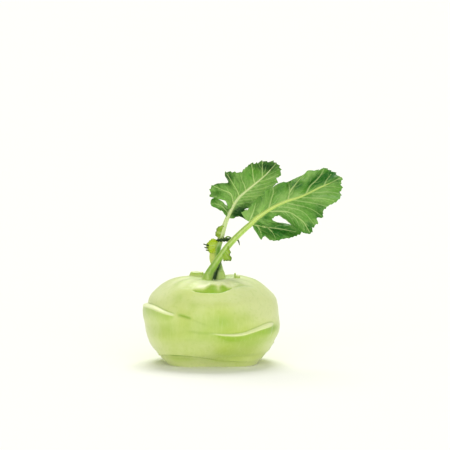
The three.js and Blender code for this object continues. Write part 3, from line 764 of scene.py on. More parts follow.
@dataclass(frozen=True)
class Bulb:
    """The swollen stem: a turned section with scars pressed into it, closed by the cut base and the crown."""

    section: tuple = ((30.6, 0), (31.8, 1.7), (34.4, 4.3), (36.6, 7), (39.6, 9.8), (42.7, 15), (44.9, 20.5),
                      (45.4, 27.5), (45.2, 33.5), (44.2, 39), (42, 45.2), (36, 51.2), (30, 55), (24, 57.1),
                      (17.5, 58), (9, 57.2), (2, 56.3))
    columns: int = 400
    rings: int = 225
    base_rings: int = 14
    foot_swell: float = -0.6
    foot_height: float = 12.0
    foot_spread: float = 6.0
    foot_corners: float = 0.13
    corner_fade: float = 8.0
    front_flat: float = 0.13
    waves: tuple = ((0.006, 2, 0.4), (0.008, 3, 1.9), (0.005, 5, 0.7))
    unevenness: float = 0.25
    uneven_height: float = 12.0
    calm_rings: int = 5
    core_share: float = 0.12
    cut_rings: int = 2
    scars: tuple = (
        Scar(((-150, 33, 0, 0.4), (-126, 36, 1.8, 1.6), (-106, 38.2, 2.5, 2.2), (-90, 39.2, 2.7, 2.5),
              (-76, 39.8, 2.6, 2.5), (-62, 39.8, 2.3, 2.3), (-52, 38.8, 2, 2), (-45, 37.8, 1.5, 1.6),
              (-40, 37.2, 1.2, 1.4), (-36, 36.8, 0.6, 1), (-33, 36.5, 0, 0.5))),
        Scar(((-8, 25.2, 0, 0.3), (3, 24.8, 0.3, 0.5), (12, 24.2, 0.9, 0.8), (20, 24, 1.2, 1.1),
              (28, 24.4, 1.4, 1.3), (36, 25.7, 1.6, 1.5), (44, 27, 1.9, 1.8), (51, 28, 2.1, 2.1),
              (56, 28.5, 2.1, 2.2), (60, 28.8, 1.8, 2), (63.5, 29, 0.6, 1.1), (67, 29, 0, 0.3))),
        Scar(((-112, 3.4, 0, 0.3), (-86, 5, 0.4, 0.6), (-66, 7.4, 0.8, 0.8), (-46, 9.2, 1, 0.9),
              (-28, 9.5, 1, 0.9), (-13, 8.8, 0.9, 0.8), (-2, 7.3, 0.7, 0.7), (8, 6, 0.6, 0.6),
              (20, 5, 0.5, 0.5), (36, 3.9, 0.3, 0.4), (52, 3, 0, 0.3)), hangs=True, paleness=0.0),
        Scar(((-176, 15.6, 0, 0.4), (-156, 18.8, 1.8, 1.8), (-138, 19.4, 1.6, 1.7), (-118, 16.6, 0, 0.4))),
        Scar(((106, 43.6, 0, 0.4), (130, 46, 1.8, 1.9), (158, 46.4, 1.9, 2), (186, 43.6, 0, 0.4))),
        Scar(((86, 14.6, 0, 0.4), (106, 13, 1.3, 1.4), (126, 13.4, 1.4, 1.4), (146, 16, 0, 0.4))),
    )
    creases: tuple = (
        Crease(((-33, 37.2), (-25, 36.2), (-16, 34.4)), 0.42, 1.0, 0.8, 5.0),
        Crease(((-20, 35), (-12, 32.8), (-2, 30)), 0.1, 0.8, 0.16, 6.0),
        Crease(((-24, 26.4), (-8, 25.4), (6, 24.8)), 0.15, 1.0, 0.3, 8.0),
        Crease(((50, 26.4), (58, 26), (66, 25.6), (76, 25)), 0.05, 1.5, 0.35, 9.0),
        Crease(((-48, 8.3), (-38, 8.7), (-26, 8.8), (-16, 8.2), (-4, 6.9), (8, 5.4)), 0.4, 0.55, 1.0, 10.0),
        Crease(((25, 53.9), (40, 54.8), (53, 54.2), (62, 52.4)), 0.2, 0.6, 0.28, 8.0),
        Crease(((-42, 53.1), (-33, 53.5), (-22, 53.8)), 0.08, 0.5, 0.12, 8.0),
    )
    hollow: Hollow = Hollow()
    # Broad tints as (degrees, height, spread in degrees, spread in height, strength)
    # The green ones are partly the flesh's own green and partly painted shade, most of all under the right-hand
    # lip
    green_and_shaded_patches: tuple = (
        (7, 30, 20, 9, 0.45), (38, 18.5, 26, 5, 0.6), (20, 9, 22, 5, 0.35), (-14, 31, 14, 8, 0.2),
        (-50, 27, 20, 8, 0.3), (-24, 13, 22, 6, 0.15), (-10, 22, 22, 4, 0.25), (60, 25.4, 16, 2.8, 1.0),
        (150, 26, 40, 14, 0.4), (-140, 12, 34, 8, 0.35), (-36, 6.4, 20, 1.6, 0.4), (9, 33.5, 6, 3.5, 0.4),
        (-17, 43.5, 5, 3, 0.3), (-34, 47.5, 6, 3, 0.3), (15, 20.4, 7, 2, 0.35), (-40, 27.5, 6, 7, 0.25),
        (30, 36, 8, 4, 0.2),
    )
    # The pale ones are partly the flesh's own pale tone and partly painted light on the rims at either side,
    # the upper shoulders and the downward-facing foot
    pale_and_lit_patches: tuple = (
        (-60, 50, 34, 8, 0.6), (52, 44, 30, 10, 0.55), (64, 34, 22, 7, 0.7), (68, 14, 22, 7, 0.8),
        (-32, 17, 20, 5, 0.45), (-80, 22, 16, 16, 0.8), (8, 46, 24, 5, 0.35), (-120, 30, 30, 16, 0.4),
        (110, 34, 30, 16, 0.4), (62, 3, 12, 2.2, 0.7), (-10, 1.8, 36, 2.4, 1.3), (-6, 48.6, 14, 2.2, 0.4),
        (40, 40, 12, 4, 0.3),
    )
    # Tints on the crown as (x, y, spread, strength): pale where above 0 and green below
    # The strongest green one, between the feet of the stalks, is painted shade in the gap between them
    crown_patches: tuple = ((1.5, -23, 4.5, 0.95), (-4, -18, 4, 0.5), (-13.5, -2, 3, -0.5), (12, -6, 4, 0.4),
                            (-16, -10, 5, 0.35), (20, -2, 5, 0.3), (-7, -7, 3, -0.5), (9, -1, 4, -0.4),
                            (0, 2, 15, -0.45), (1.4, -7, 2.4, -1.0))
    # Streaks that run out over the crown: how many waves, the largest wave number and the height
    streaks: tuple = (7, 17.0, 0.2)
    # Where the stalks grow out: (x, y, radius)
    stalk_roots: tuple = ((-2.6, -5.0, 6.5), (5.4, 1.5, 7.0))
    mound: float = 0.4
    # The dip in the crown before the stalks: (x, y, spread, depth)
    dip: tuple = (-1, -14, 9, 1.0)

    def skin(self, places: np.ndarray, degrees: np.ndarray) -> np.ndarray:
        """Points of the plain round: the section turned about the axis with slow waves.

        Its foot is a rounded square, flatter still at the front.
        """
        plain = spline(np.array(self.section, float), places.ravel(), centripetal=False)
        plain = plain.reshape(*places.shape, 2)
        angle = np.radians(degrees)
        side = np.sin(angle)
        waving = sum(share * np.sin(count * angle + turn) for share, count, turn in self.waves)
        corners = self.foot_corners * np.sin(2 * angle) ** 2 * bell(plain[..., 1], 0, self.corner_fade)
        swell = self.foot_swell * side * bell(plain[..., 1], self.foot_height, self.foot_spread)
        flat = self.front_flat * np.clip(np.cos(angle), 0, 1) ** 6 * bell(plain[..., 1], 0, self.corner_fade)
        radius = plain[..., 0] * (1 + waving + corners - flat) + swell
        return np.stack([radius * side, -radius * np.cos(angle), plain[..., 1]], axis=-1)

    def even_places(self) -> np.ndarray:
        """Places up the section that lie the same distance apart along it."""
        fine = np.linspace(0, len(self.section) - 1, 4000)
        line = spline(np.array(self.section, float), fine, centripetal=False)
        run = run_along(line)
        return np.interp(np.linspace(0, run[-1], self.rings), run, fine)

    def crown_height(self, x: np.ndarray, y: np.ndarray) -> np.ndarray:
        """Height of the crown under points near the axis, with its dip and the mounds below the stalks."""
        inner = np.array(self.section[-4:], float)[::-1]
        plain = np.interp(np.hypot(x, y), inner[:, 0], inner[:, 1])
        return plain + self.mound * self.near_stalks(x, y) - self.dip[3] * self.in_dip(x, y)

    def in_dip(self, x: np.ndarray, y: np.ndarray) -> np.ndarray:
        """How deep points lie in the dip before the stalks: 1 at its middle, falling off as a bell."""
        return bell(np.hypot(x - self.dip[0], y - self.dip[1]), 0, self.dip[2])

    def near_stalks(self, x: np.ndarray, y: np.ndarray) -> np.ndarray:
        """How near points are to where the stalks grow out: 1 there, falling off as a bell."""
        near = [bell(np.hypot(x - root_x, y - root_y), 0, wide) for root_x, root_y, wide in self.stalk_roots]
        return np.maximum(*near)

    def relief(self, points: np.ndarray, degrees: np.ndarray) -> tuple[np.ndarray, dict[str, np.ndarray]]:
        """How far scars, creases and the hollow push the skin out or in, and the marks that the finish reads.

        Args:
            points: The plain skin.
            degrees: The angle of each point.

        Returns:
            The push at each point in millimetres, and the marks by attribute name.
        """
        x, y, height = points[..., 0], points[..., 1], points[..., 2]
        radius = np.hypot(x, y)
        lengths = np.linalg.norm(np.gradient(points, axis=0), axis=-1)
        slope = np.abs(np.gradient(height, axis=0)) / np.maximum(lengths, 1e-6)
        names = ("lip", "crease", "hollow", "greenness", "paleness", "cut")
        marks = {name: np.zeros_like(height) for name in names}
        push = sum(scar.press(height, slope, degrees, marks) for scar in self.scars)
        push += sum(crease.press(height, degrees, marks) for crease in self.creases) * (height > 0)
        push += self.hollow.press(height, radius, degrees, marks)
        near = self.near_stalks(x, y) * smooth_step(52, 56, height)
        waves, reach, streak_height = self.streaks
        streaks = ripple(np.radians(degrees), 0 * height, SEED + 3, waves, reach)
        on_crown = smooth_step(52.5, 56, height) * smooth_step(3, 12, radius)
        dipped = self.in_dip(x, y) * smooth_step(54, 57, height)
        push += self.mound * near + streak_height * streaks * on_crown - self.dip[3] * dipped
        marks["greenness"] += 0.7 * near**1.2 + 0.3 * np.maximum(streaks, 0) * on_crown
        marks["paleness"] += 0.4 * np.maximum(-streaks, 0) * on_crown
        for middle_x, middle_y, spread, strength in self.crown_patches:
            spot = bell(np.hypot(x - middle_x, y - middle_y), 0, spread) * on_crown
            marks["paleness" if strength > 0 else "greenness"] += abs(strength) * spot
        for name, patches in (("greenness", self.green_and_shaded_patches), ("paleness", self.pale_and_lit_patches)):
            for angle, level, wide_by, tall_by, strength in patches:
                turn = (degrees - angle + 180) % 360 - 180
                marks[name] += strength * bell(turn, 0, wide_by) * bell(height, level, tall_by)
        return push, marks

    def build(self, material: bpy.types.Material) -> bpy.types.Object:
        """Lays the skin out as rings, presses the relief in along its normals and closes it at both poles.

        Args:
            material: The flesh finish.

        Returns:
            The bulb's object.
        """
        degrees = np.linspace(-180, 180, self.columns, endpoint=False)
        turned = np.repeat(degrees[None, :], self.rings, axis=0)
        skin = self.skin(np.repeat(self.even_places()[:, None], self.columns, axis=1), turned)
        closed = np.concatenate([skin[:, -1:], skin, skin[:, :1]], axis=1)
        normals = -grid_normals(closed)[:, 1:-1]
        normals *= np.sign((normals[..., :2] * skin[..., :2]).sum(-1).mean())
        push, marks = self.relief(skin, turned)
        uneven = ripple(np.radians(turned), skin[..., 2] / self.uneven_height, SEED)
        push += self.unevenness * uneven * smooth_step(0, 6, skin[..., 2])
        push *= np.interp(np.arange(self.rings), (0, self.calm_rings), (0, 1))[:, None]
        solid = skin + normals * push[..., None]
        solid[..., 2] = np.maximum(solid[..., 2], 0)
        out = np.linspace(self.core_share, 1, self.base_rings, endpoint=False)[:, None, None]
        grid = np.concatenate([out * solid[:1] * np.array([1, 1, 0]), solid])
        top = np.array([0, 0, solid[-1, :, 2].mean() - 0.05])
        points = np.vstack([np.zeros(3), grid.reshape(-1, 3), top])
        faces = (fan_faces(0, 1, self.columns, backwards=True).tolist()
                 + (grid_quads(len(grid), self.columns, wrap=True) + 1).tolist()
                 + fan_faces(len(points) - 1, len(points) - 1 - self.columns, self.columns).tolist())
        marks["cut"][:self.cut_rings] = 1
        values = {}
        for name, mark in marks.items():
            under = np.full((self.base_rings, self.columns), float(name == "cut"))
            whole = np.clip(np.concatenate([under, mark]), 0, 1)
            values[name] = np.concatenate([whole[0, :1], whole.ravel(), whole[-1, :1]])
        return build_piece("bulb_flesh", points, faces, values, material)


@dataclass(frozen=True)
class CrownStub:
    """What is left of a leaf cut off at the crown: a low wedge with a fresh green face."""

    name: str
    x: float
    y: float
    turn: float
    wide: float
    deep: float
    tall: float
    sink: float = 2.0
    shoulder: float = 0.72
    squareness: float = 0.8
    slant: float = 0.16
    dish: float = 0.8
    sides: int = 48
    rings: int = 26

    def build(self, crown: Bulb, material: bpy.types.Material) -> bpy.types.Object:
        """A squarish oval carried up with rounded shoulders and closed by a dished cut face.

        Args:
            crown: The bulb it stands on.
            material: The flesh finish.

        Returns:
            The stub's object.
        """
        share = np.linspace(0, 1, self.rings)[:, None]
        angle = full_turn(self.sides)[None, :]
        climb = np.clip(share / self.shoulder, 0, 1)
        inward = np.clip((share - self.shoulder) / (1 - self.shoulder), 0, 1)
        narrow = (1 - 0.25 * climb**2) * (1 - inward * 0.96) * (1 + 0.05 * np.sin(3 * angle + self.turn))
        flare = 1 + 0.5 * (1 - climb) ** 3
        x, y = (np.sign(wave) * np.abs(wave) ** self.squareness * size / 2 * narrow * flare
                for wave, size in ((np.cos(angle), self.wide), (np.sin(angle), self.deep)))
        dished = self.dish * inward * (1 - inward)
        rise = (self.tall + self.sink) * smooth_step(0, 1, climb) - self.sink - dished
        z = rise + self.slant * y * climb + 0.15 * np.sin(5 * angle) * climb * (1 - inward)
        turn = math.radians(self.turn)
        ground = float(crown.crown_height(np.array(self.x), np.array(self.y)))
        points = np.stack([self.x + x * math.cos(turn) - y * math.sin(turn),
                           self.y + x * math.sin(turn) + y * math.cos(turn), z + ground], axis=-1)
        face = smooth_step(0.74, 0.84, share)
        side = smooth_step(0.2, 0.6, share) * (1 - smooth_step(0.64, self.shoulder, share))
        marks = {"lip": 0.6 * bell(share, self.shoulder, 0.06), "hollow": 0.6 * side, "greenness": 0.6 * face,
                 "paleness": 1 - climb, "crease": np.zeros_like(share), "cut": 0.35 * face}
        return ring_piece(self.name, points, marks, material)


@dataclass(frozen=True)
class StalkLine:
    """A stalk that runs on as its leaf's midrib: places on its centre line and its half width there."""

    stations: tuple

    @property
    def last(self) -> int:
        """The number of the last station."""
        return len(self.stations) - 1

    def point(self, places: np.ndarray) -> np.ndarray:
        """Points of the centre line."""
        return spline(np.array(self.stations, float)[:, :3], places)

    def tangent(self, places: np.ndarray) -> np.ndarray:
        """Direction of the centre line, from points a little to either side."""
        step = 0.01
        ahead, behind = np.minimum(places + step, self.last), np.maximum(places - step, 0)
        return unit(self.point(ahead) - self.point(behind))

    def half_width(self, places: np.ndarray) -> np.ndarray:
        """Half the width, in straight lines between stations."""
        return np.interp(places, np.arange(self.last + 1), np.array(self.stations, float)[:, 3])

    def frame(self, places: np.ndarray) -> tuple[np.ndarray, np.ndarray, np.ndarray]:
        """Tangent, direction across towards the first side of the leaf, and direction towards the front."""
        tangent = self.tangent(places)
        across = -unit(np.cross(BACK, tangent))
        return tangent, across, unit(np.cross(tangent, across))


@dataclass(frozen=True)
class Stalk:
    """A fluted stalk with a broad clasping foot, tapering into the midrib.

    Its tones are (place, share of deep green, share of the midrib's own colour), joined by straight lines.
    """

    name: str
    line: StalkLine
    rib_start: float
    tones: tuple
    # A thin edge on one side: how far it stands out, its place along the stalk and its spread there
    wing: float = 0.0
    wing_place: float = 3.5
    wing_spread: float = 1.1
    wing_turn: float = 0.3
    # The painted shadow in the gap beside the other stalk as (height, middle of it in x, half its width)
    gap: tuple = ((54.5, 1.2, 1.9), (58, 1.7, 1.8), (61.4, 2.8, 1.5), (64, 3.9, 1.2), (66.7, 5, 0.9),
                  (69, 6.2, 0.6))
    gap_top: tuple = (68, 71)
    flare: float = 0.4
    skirt_reach: float = 0.3
    root_reach: float = 0.42
    hug_reach: float = 0.8
    hug_rise: float = 4.5
    depth_ratio: float = 1.12
    rings: int = 300
    sides: int = 48
    flutes: int = 5
    flute_depth: float = 0.055
    sink: float = 0.8

    def build(self, crown: Bulb, material: bpy.types.Material) -> bpy.types.Object:
        """Carries a fluted oval along the centre line, its foot spread out over the crown as a thin skirt.

        Args:
            crown: The bulb it stands on.
            material: The stalk finish.

        Returns:
            The stalk's object.
        """
        places = (np.linspace(0, 1, self.rings) ** 1.3 * self.line.last)[:, None]
        along = places[:, 0]
        _, across, front = self.line.frame(along)
        angle = full_turn(self.sides)[None, :]
        on_leaf = smooth_step(self.rib_start - 1, self.rib_start + 1, places)
        flute = np.cos(self.flutes * angle + 0.35 * np.sin(places))
        skirt = self.flare * np.exp(-places / self.skirt_reach) * (0.6 + 0.4 * np.cos(angle))
        edge = np.clip(np.cos(angle - self.wing_turn), 0, 1) ** 3
        wing = self.wing * bell(places, self.wing_place, self.wing_spread) * edge
        fluting = self.flute_depth * flute * (1 - 0.7 * on_leaf)
        reach = self.line.half_width(along)[:, None] * (1 + fluting + skirt)
        points = (self.line.point(along)[:, None]
                  + across[:, None] * (np.cos(angle) * (reach + wing))[..., None]
                  + front[:, None] * (np.sin(angle) * reach * self.depth_ratio)[..., None])
        ground = crown.crown_height(points[..., 0], points[..., 1])
        hug = 1 - smooth_step(0, self.hug_reach, places)
        points[..., 2] = points[..., 2] * (1 - hug) + (ground - self.sink + self.hug_rise * places) * hug
        tones = np.array(self.tones).T
        deep, rib = (np.interp(places, tones[0], row) for row in tones[1:])
        gap = np.array(self.gap, float).T
        middle, wide = (np.interp(points[..., 2], gap[0], row) for row in gap[1:])
        # Painted shadow in the gap between the stalks' feet
        in_gap = bell(points[..., 0], middle, wide) * (1 - smooth_step(*self.gap_top, points[..., 2]))
        marks = {"flute": 0.5 + 0.5 * flute, "foot": deep, "rib": rib, "gap": np.clip(1.3 * in_gap, 0, 1),
                 "wing": np.clip(wing / max(self.wing, 1) * 2, 0, 1),
                 "root": 0.9 * np.exp(-places / self.root_reach)}
        return ring_piece(self.name, points, marks, material)


@dataclass(frozen=True)
class Sprig:
    """A thin tapering sprout: stations of (x, y, z, half height)."""

    name: str
    stations: tuple
    darkness: float = 1.0
    waviness: float = 0.14
    rings: int = 60
    sides: int = 16

    def build(self, material: bpy.types.Material) -> bpy.types.Object:
        """Carries a round section along a curve through the stations, a little wavy along its length.

        Args:
            material: The blade finish.

        Returns:
            The sprig's object.
        """
        line = StalkLine(self.stations)
        places = np.linspace(0, line.last, self.rings)
        _, across, front = line.frame(places)
        angle = full_turn(self.sides)[None, :]
        half = (line.half_width(places) * (1 + self.waviness * np.sin(places * 9)))[:, None]
        points = (line.point(places)[:, None] + across[:, None] * (np.cos(angle) * half)[..., None]
                  + front[:, None] * (np.sin(angle) * half)[..., None])
        marks = {name: np.zeros_like(angle) for name in ("brightness", "paleness", "back")}
        # A painted highlight: a pale streak along one side, the upper side of sprigs that run towards +X
        marks["vein"] = 0.25 * np.clip(np.cos(angle), 0, 1) ** 3
        marks["darkness"] = np.full_like(angle, self.darkness)
        return ring_piece(self.name, points, marks, material)


@dataclass(frozen=True)
class Vein:
    """A side vein as seen from the front: its points as (x, z), and the region of the blade that it marks."""

    points: tuple
    region: Region
    width: float = 0.55
    strength: float = 0.85
    branch_strength: float = 0.3 / 0.85
    # A branch's length in millimetres at this vein's end, how much longer it is at the start, and its bend
    branch_length: float = 2.6
    branch_growth: float = 4.5
    branch_bend: float = 0.45

    def path(self) -> np.ndarray:
        """Points close together along a smooth curve through the vein's own."""
        count = len(self.points)
        return spline(np.array(self.points, float), np.linspace(0, count - 1, 10 * count))

    def branches(self, draw: np.random.Generator, spacing: float = 3.6, angle: float = 48.0) -> list["Vein"]:
        """Finer veins that leave this one to either side by turns, bending towards its end.

        Args:
            draw: Source of the small random changes.
            spacing: Distance between branches.
            angle: Degrees between a branch and this vein.

        Returns:
            The branches.
        """
        path = self.path()
        run = run_along(path)
        fine = []
        for number, distance in enumerate(np.arange(spacing * 0.6, run[-1], spacing)):
            start, ahead, behind = (np.array([np.interp(place, run, column) for column in path.T])
                                    for place in (distance, min(distance + 1, run[-1]), max(distance - 1, 0)))
            heading = math.atan2(*(ahead - behind)[::-1])
            turn = math.radians(angle + draw.uniform(-8, 8)) * (1 if number % 2 else -1)
            length = self.branch_length + self.branch_growth * (1 - distance / run[-1])
            length *= draw.uniform(0.8, 1.2)
            bend = []
            for share in (0, 0.5, 1):
                course = heading + turn * (1 - self.branch_bend * share)
                bend.append(tuple(start + length * share * np.array([math.cos(course), math.sin(course)])))
            fine.append(Vein(tuple(bend), self.region, self.width * 0.5, self.strength * self.branch_strength))
        return fine


@dataclass(frozen=True)
class Blade:
    """A lobed leaf blade.

    Its rows run from the midrib out to the margin, in order round the leaf from one side of the stalk over
    the tip to the other. A row is (place, x, y, z, vein, bow), and its place runs 0 to 1 up one side of the
    midrib and on to 2 down the other. Its tints are soft patches by attribute name: (x, z, spread across,
    spread up, strength).
    """

    name: str
    rows: tuple
    line: StalkLine
    rib_start: float
    veins: tuple
    tints: dict
    # Ranges of places where the margin has hardly any teeth
    smooth_rows: tuple
    seed: int
    steps: int = 46
    row_spacing: float = 0.42
    thickness: float = 0.5
    rib_end_turn: float = 0.03
    rib_reach: float = 0.55
    # Waves of the margin as (length, height)
    ruffles: tuple = ((17.0, 1.3), (5.3, 0.35))
    # How far the skin swells between the vein rows and between the finer veins
    quilt_height: float = 1.1
    puff: float = 0.6
    vein_spread: float = 0.66
    vein_depth: float = 0.14
    rib_height: float = 0.5
    edge_tint: float = 0.3
    # Painted shade beside the sunk veins and painted light on the swelling cells between them
    vein_side_shade: float = 0.2
    cell_light: float = 0.15
    tooth_count: int = 400
    tooth_length: tuple = (2.2, 4.4)
    tooth_height: tuple = (0.5, 1.35)
    tooth_share: float = 0.2

    def sample_rows(self) -> dict[str, np.ndarray]:
        """Rows of the list with finer ones between, evenly stepped along the margin.

        Returns:
            Arrays by name: place, margin point, bow, run along the margin, and the runs of the vein rows.
        """
        listed = np.array([(*row[:4], *(row[4:] + (0, 0))[:2]) for row in self.rows], float)
        shares, veins, run = [], [], 0.0
        for number in range(len(listed) - 1):
            probe = spline(listed[:, 1:4], number + np.array([0, 0.5, 1.0]) * 0.9999)
            length = np.linalg.norm(np.diff(probe, axis=0), axis=1).sum()
            steps = max(1, round(length / self.row_spacing))
            shares.append(number + np.arange(steps) / steps)
            if listed[number, 4]:
                veins.append(run)
            run += length
        places = np.append(np.concatenate(shares), len(listed) - 1 - 1e-6)
        margin = spline(listed[:, 1:4], places)
        place, bow = (np.interp(places, np.arange(len(listed)), listed[:, column]) for column in (0, 5))
        return {"place": place, "margin": margin, "bow": bow, "run": run_along(margin),
                "veins": np.array(veins)}

    def rib_edge(self, place: np.ndarray) -> np.ndarray:
        """Where each row starts: just inside the midrib's edge, or round its end."""
        station = self.rib_start + (self.line.last - self.rib_start) * (1 - np.abs(place - 1))
        tangent, across, _ = self.line.frame(station)
        turn = np.clip((place - 1) / self.rib_end_turn, -1, 1) * math.pi / 2
        reach = self.line.half_width(station) * self.rib_reach
        return (self.line.point(station) - across * (np.sin(turn) * reach)[:, None]
                + tangent * (np.cos(turn) * reach)[:, None])

    def teeth(self, run: np.ndarray, place: np.ndarray) -> np.ndarray:
        """How far the toothed edge stands out: each tooth rises along the margin and drops at its point."""
        draw = np.random.default_rng(self.seed)
        lengths = draw.uniform(*self.tooth_length, self.tooth_count)
        ends = np.cumsum(lengths)
        which = np.searchsorted(ends, run)
        share = 1 - (ends[which] - run) / lengths[which]
        height = draw.uniform(*self.tooth_height, self.tooth_count)[which]
        calm = sum(smooth_step(low - 0.01, low, place) * (1 - smooth_step(high, high + 0.01, place))
                   for low, high in self.smooth_rows)
        return height * share**1.4 * (1 - 0.75 * np.clip(calm, 0, 1))

    def grid(self) -> tuple[np.ndarray, np.ndarray, dict[str, np.ndarray]]:
        """The middle surface of the blade.

        Each row is a quadratic curve from the midrib to the margin. The surface waves across itself towards
        the margin and swells forward between the vein rows.

        Returns:
            The grid of points, the share of the way out at each column, and the sampled rows.
        """
        rows = self.sample_rows()
        inner = self.rib_edge(rows["place"])
        outward = rows["margin"] - inner
        width = np.linalg.norm(outward, axis=1)
        sideways = unit(np.cross(outward, BACK))
        control = (inner + rows["margin"]) / 2 + sideways * (rows["bow"] * width)[:, None]
        tooth = np.minimum(self.teeth(rows["run"], rows["place"]), width * self.tooth_share)
        tip = rows["margin"] + unit(outward) * tooth[:, None]
        share = np.linspace(0, 1, self.steps + 1)
        weight = share[None, :, None]
        grid = (inner[:, None] * (1 - weight) ** 2 + 2 * control[:, None] * weight * (1 - weight)
                + tip[:, None] * weight**2)
        veins, run = rows["veins"], rows["run"]
        before = np.concatenate([[run[0]], veins])[np.searchsorted(veins, run, side="right")]
        after = np.concatenate([veins, [run[-1]]])[np.searchsorted(veins, run, side="right")]
        quilt = np.sin(math.pi * np.clip((run - before) / np.maximum(after - before, 1), 0, 1))
        room = np.minimum(1, width / 12)[:, None]
        ruffle = sum(height * np.sin(2 * math.pi * run / length + turn)
                     for turn, (length, height) in enumerate(self.ruffles))
        swell = self.quilt_height * quilt[:, None] * np.sin(math.pi * share[None, :] ** 0.8) * room
        grid[..., 1] += ruffle[:, None] * share[None, :] ** 1.5 * room - swell
        return grid, share, rows

    def vein_field(self, grid: np.ndarray, place: np.ndarray) -> tuple[np.ndarray, np.ndarray]:
        """How strongly veins mark each point, and how far it is from the nearest one, seen from the front.

        A vein's mark is a bell of the distance to its segments, as wide as the vein, which tapers to its end.

        Args:
            grid: The middle surface.
            place: The place of each row.

        Returns:
            The mark from 0 to 1 and the distance in millimetres.
        """
        draw = np.random.default_rng(self.seed + 1)
        mark = np.zeros(grid.shape[:2])
        nearest = np.full(grid.shape[:2], 9.0)
        flat = grid[..., [0, 2]]
        fine = [branch for vein in self.veins for branch in vein.branches(draw)]
        for vein in (*self.veins, *fine):
            path = vein.path()
            first, last = vein.region.value
            chosen = (place >= first) & (place <= last)
            part = flat[chosen]
            near = np.full(part.shape[:2], 99.0)
            strength = np.zeros(part.shape[:2])
            for number in range(len(path) - 1):
                start, step = path[number], path[number + 1] - path[number]
                along = np.clip(((part - start) @ step) / max(step @ step, 1e-9), 0, 1)
                gap = np.linalg.norm(part - start - along[..., None] * step, axis=-1)
                wide = self.vein_spread * vein.width * (1 - 0.6 * (number + along) / len(path))
                strength = np.maximum(strength, vein.strength * np.exp(-((gap / wide) ** 2)))
                near = np.minimum(near, gap)
            mark[chosen] = np.maximum(mark[chosen], strength)
            nearest[chosen] = np.minimum(nearest[chosen], near)
        return mark, nearest

    def tint(self, flat: np.ndarray, name: str) -> np.ndarray:
        """How strong a tint is at each point seen from the front: the sum of its patches' bells."""
        total = sum(strength * bell(flat[..., 0], x, wide) * bell(flat[..., 1], z, tall)
                    for x, z, wide, tall, strength in self.tints[name])
        return np.clip(total, 0, 1)

    def build(self, material: bpy.types.Material) -> bpy.types.Object:
        """Gives the middle surface its thickness, with sunk veins on the front and raised ribs on the back.

        Args:
            material: The blade finish.

        Returns:
            The blade's object.
        """
        grid, share, rows = self.grid()
        mark, nearest = self.vein_field(grid, rows["place"])
        puff = self.puff * smooth_step(0, 2.6, nearest) * np.sin(math.pi * np.clip(share, 0, 1))[None, :]
        facing = grid_normals(grid)
        smoothed = unit(facing + np.roll(facing, 1, axis=0) + np.roll(facing, -1, axis=0))
        grid = grid + smoothed * puff[..., None]
        half = self.thickness / 2 * (1 - 0.5 * share**3)[None, :]
        ribs = self.rib_height * mark * (1 - 0.6 * share)[None, :]
        flat = grid[..., [0, 2]]
        from_rib = share[None, :] * np.linalg.norm(rows["margin"] - grid[:, 0], axis=1)[:, None]
        edge = smooth_step(0.93, 1.0, share)[None, :]
        marks = {name: self.tint(flat, name) for name in self.tints}
        marks["vein"] = np.clip(np.maximum(mark, 0.5 * bell(from_rib, 0, 0.9)), 0, 1)
        # Painted shade in the narrow valleys beside the veins, and painted light on the swelling cells between
        # them
        marks["darkness"] += self.edge_tint * edge + self.vein_side_shade * bell(nearest, 0.8, 0.7)
        marks["paleness"] += self.cell_light * smooth_step(1.6, 3.6, nearest)
        for name in ("darkness", "paleness"):
            marks[name] = np.clip(marks[name], 0, 1)
        front = grid + smoothed * (half - self.vein_depth * mark)[..., None]
        back = grid - smoothed * (half + ribs)[..., None]
        return sheet_piece(self.name, front, back, marks, True, material)


@dataclass(frozen=True)
class Leaflet:
    """A small blade fanned out from inside a stalk: rows of (station of the stalk, x, y, z of the margin)."""

    name: str
    rows: tuple
    line: StalkLine
    darkness: float
    brightness: float
    ruffle: float = 0.5
    curl: float = 0.0
    dark_teeth: float = 0.0
    tooth: float = 0.55
    arch: float = 0.8
    tooth_length: float = 2.3
    ruffle_length: float = 6.2
    columns: int = 22
    samples: int = 110
    thickness: float = 0.45

    def build(self, material: bpy.types.Material) -> bpy.types.Object:
        """Sweeps straight lines from the stalk to a toothed, waved margin and thickens the fan.

        Args:
            material: The blade finish.

        Returns:
            The leaflet's object.
        """
        listed = np.array(self.rows, float)
        places = np.linspace(0, len(listed) - 1 - 1e-6, self.samples)
        root = self.line.point(np.interp(places, np.arange(len(listed)), listed[:, 0]))
        margin = spline(listed[:, 1:4], places)
        run = run_along(margin)
        tooth = self.tooth * ((run / self.tooth_length) % 1) ** 1.3
        share = np.linspace(0, 1, self.columns + 1)
        outward = unit(margin - root)
        tip = margin + outward * tooth[:, None]
        grid = root[:, None] + (tip - root)[:, None] * share[None, :, None]
        facing = grid_normals(grid)
        facing = unit(facing.mean(axis=(0, 1), keepdims=True) + 0.6 * facing)
        ruffle = self.ruffle * np.sin(2 * math.pi * run / self.ruffle_length + 0.6)
        wave = ruffle[:, None] * share[None, :] ** 2
        arch = self.arch * np.sin(math.pi * share)[None, :] + self.curl * smooth_step(0.6, 1, share)[None, :]
        grid = grid + facing * (wave + arch)[..., None]
        half = self.thickness / 2 * (1 - 0.4 * share**2)[None, :, None]
        front, back = grid + facing * half, grid - facing * half
        crests = np.abs(np.sin(run * math.pi / (2 * self.tooth_length))) ** 8
        fan = crests[:, None] * (1 - share)[None, :] ** 0.5
        spine = bell(places, (len(listed) - 1) / 2, 0.25)[:, None] * (1 - share**2)[None, :]
        edge = smooth_step(0.8, 1, share)[None, :] * (0.4 + 0.6 * tooth / self.tooth)[:, None]
        marks = {"vein": np.clip(0.5 * fan + 0.8 * spine, 0, 1), "paleness": 0.0, "brightness": self.brightness,
                 "darkness": np.clip(self.darkness + self.dark_teeth * edge, 0, 1)}
        return sheet_piece(self.name, front, back, marks, False, material)


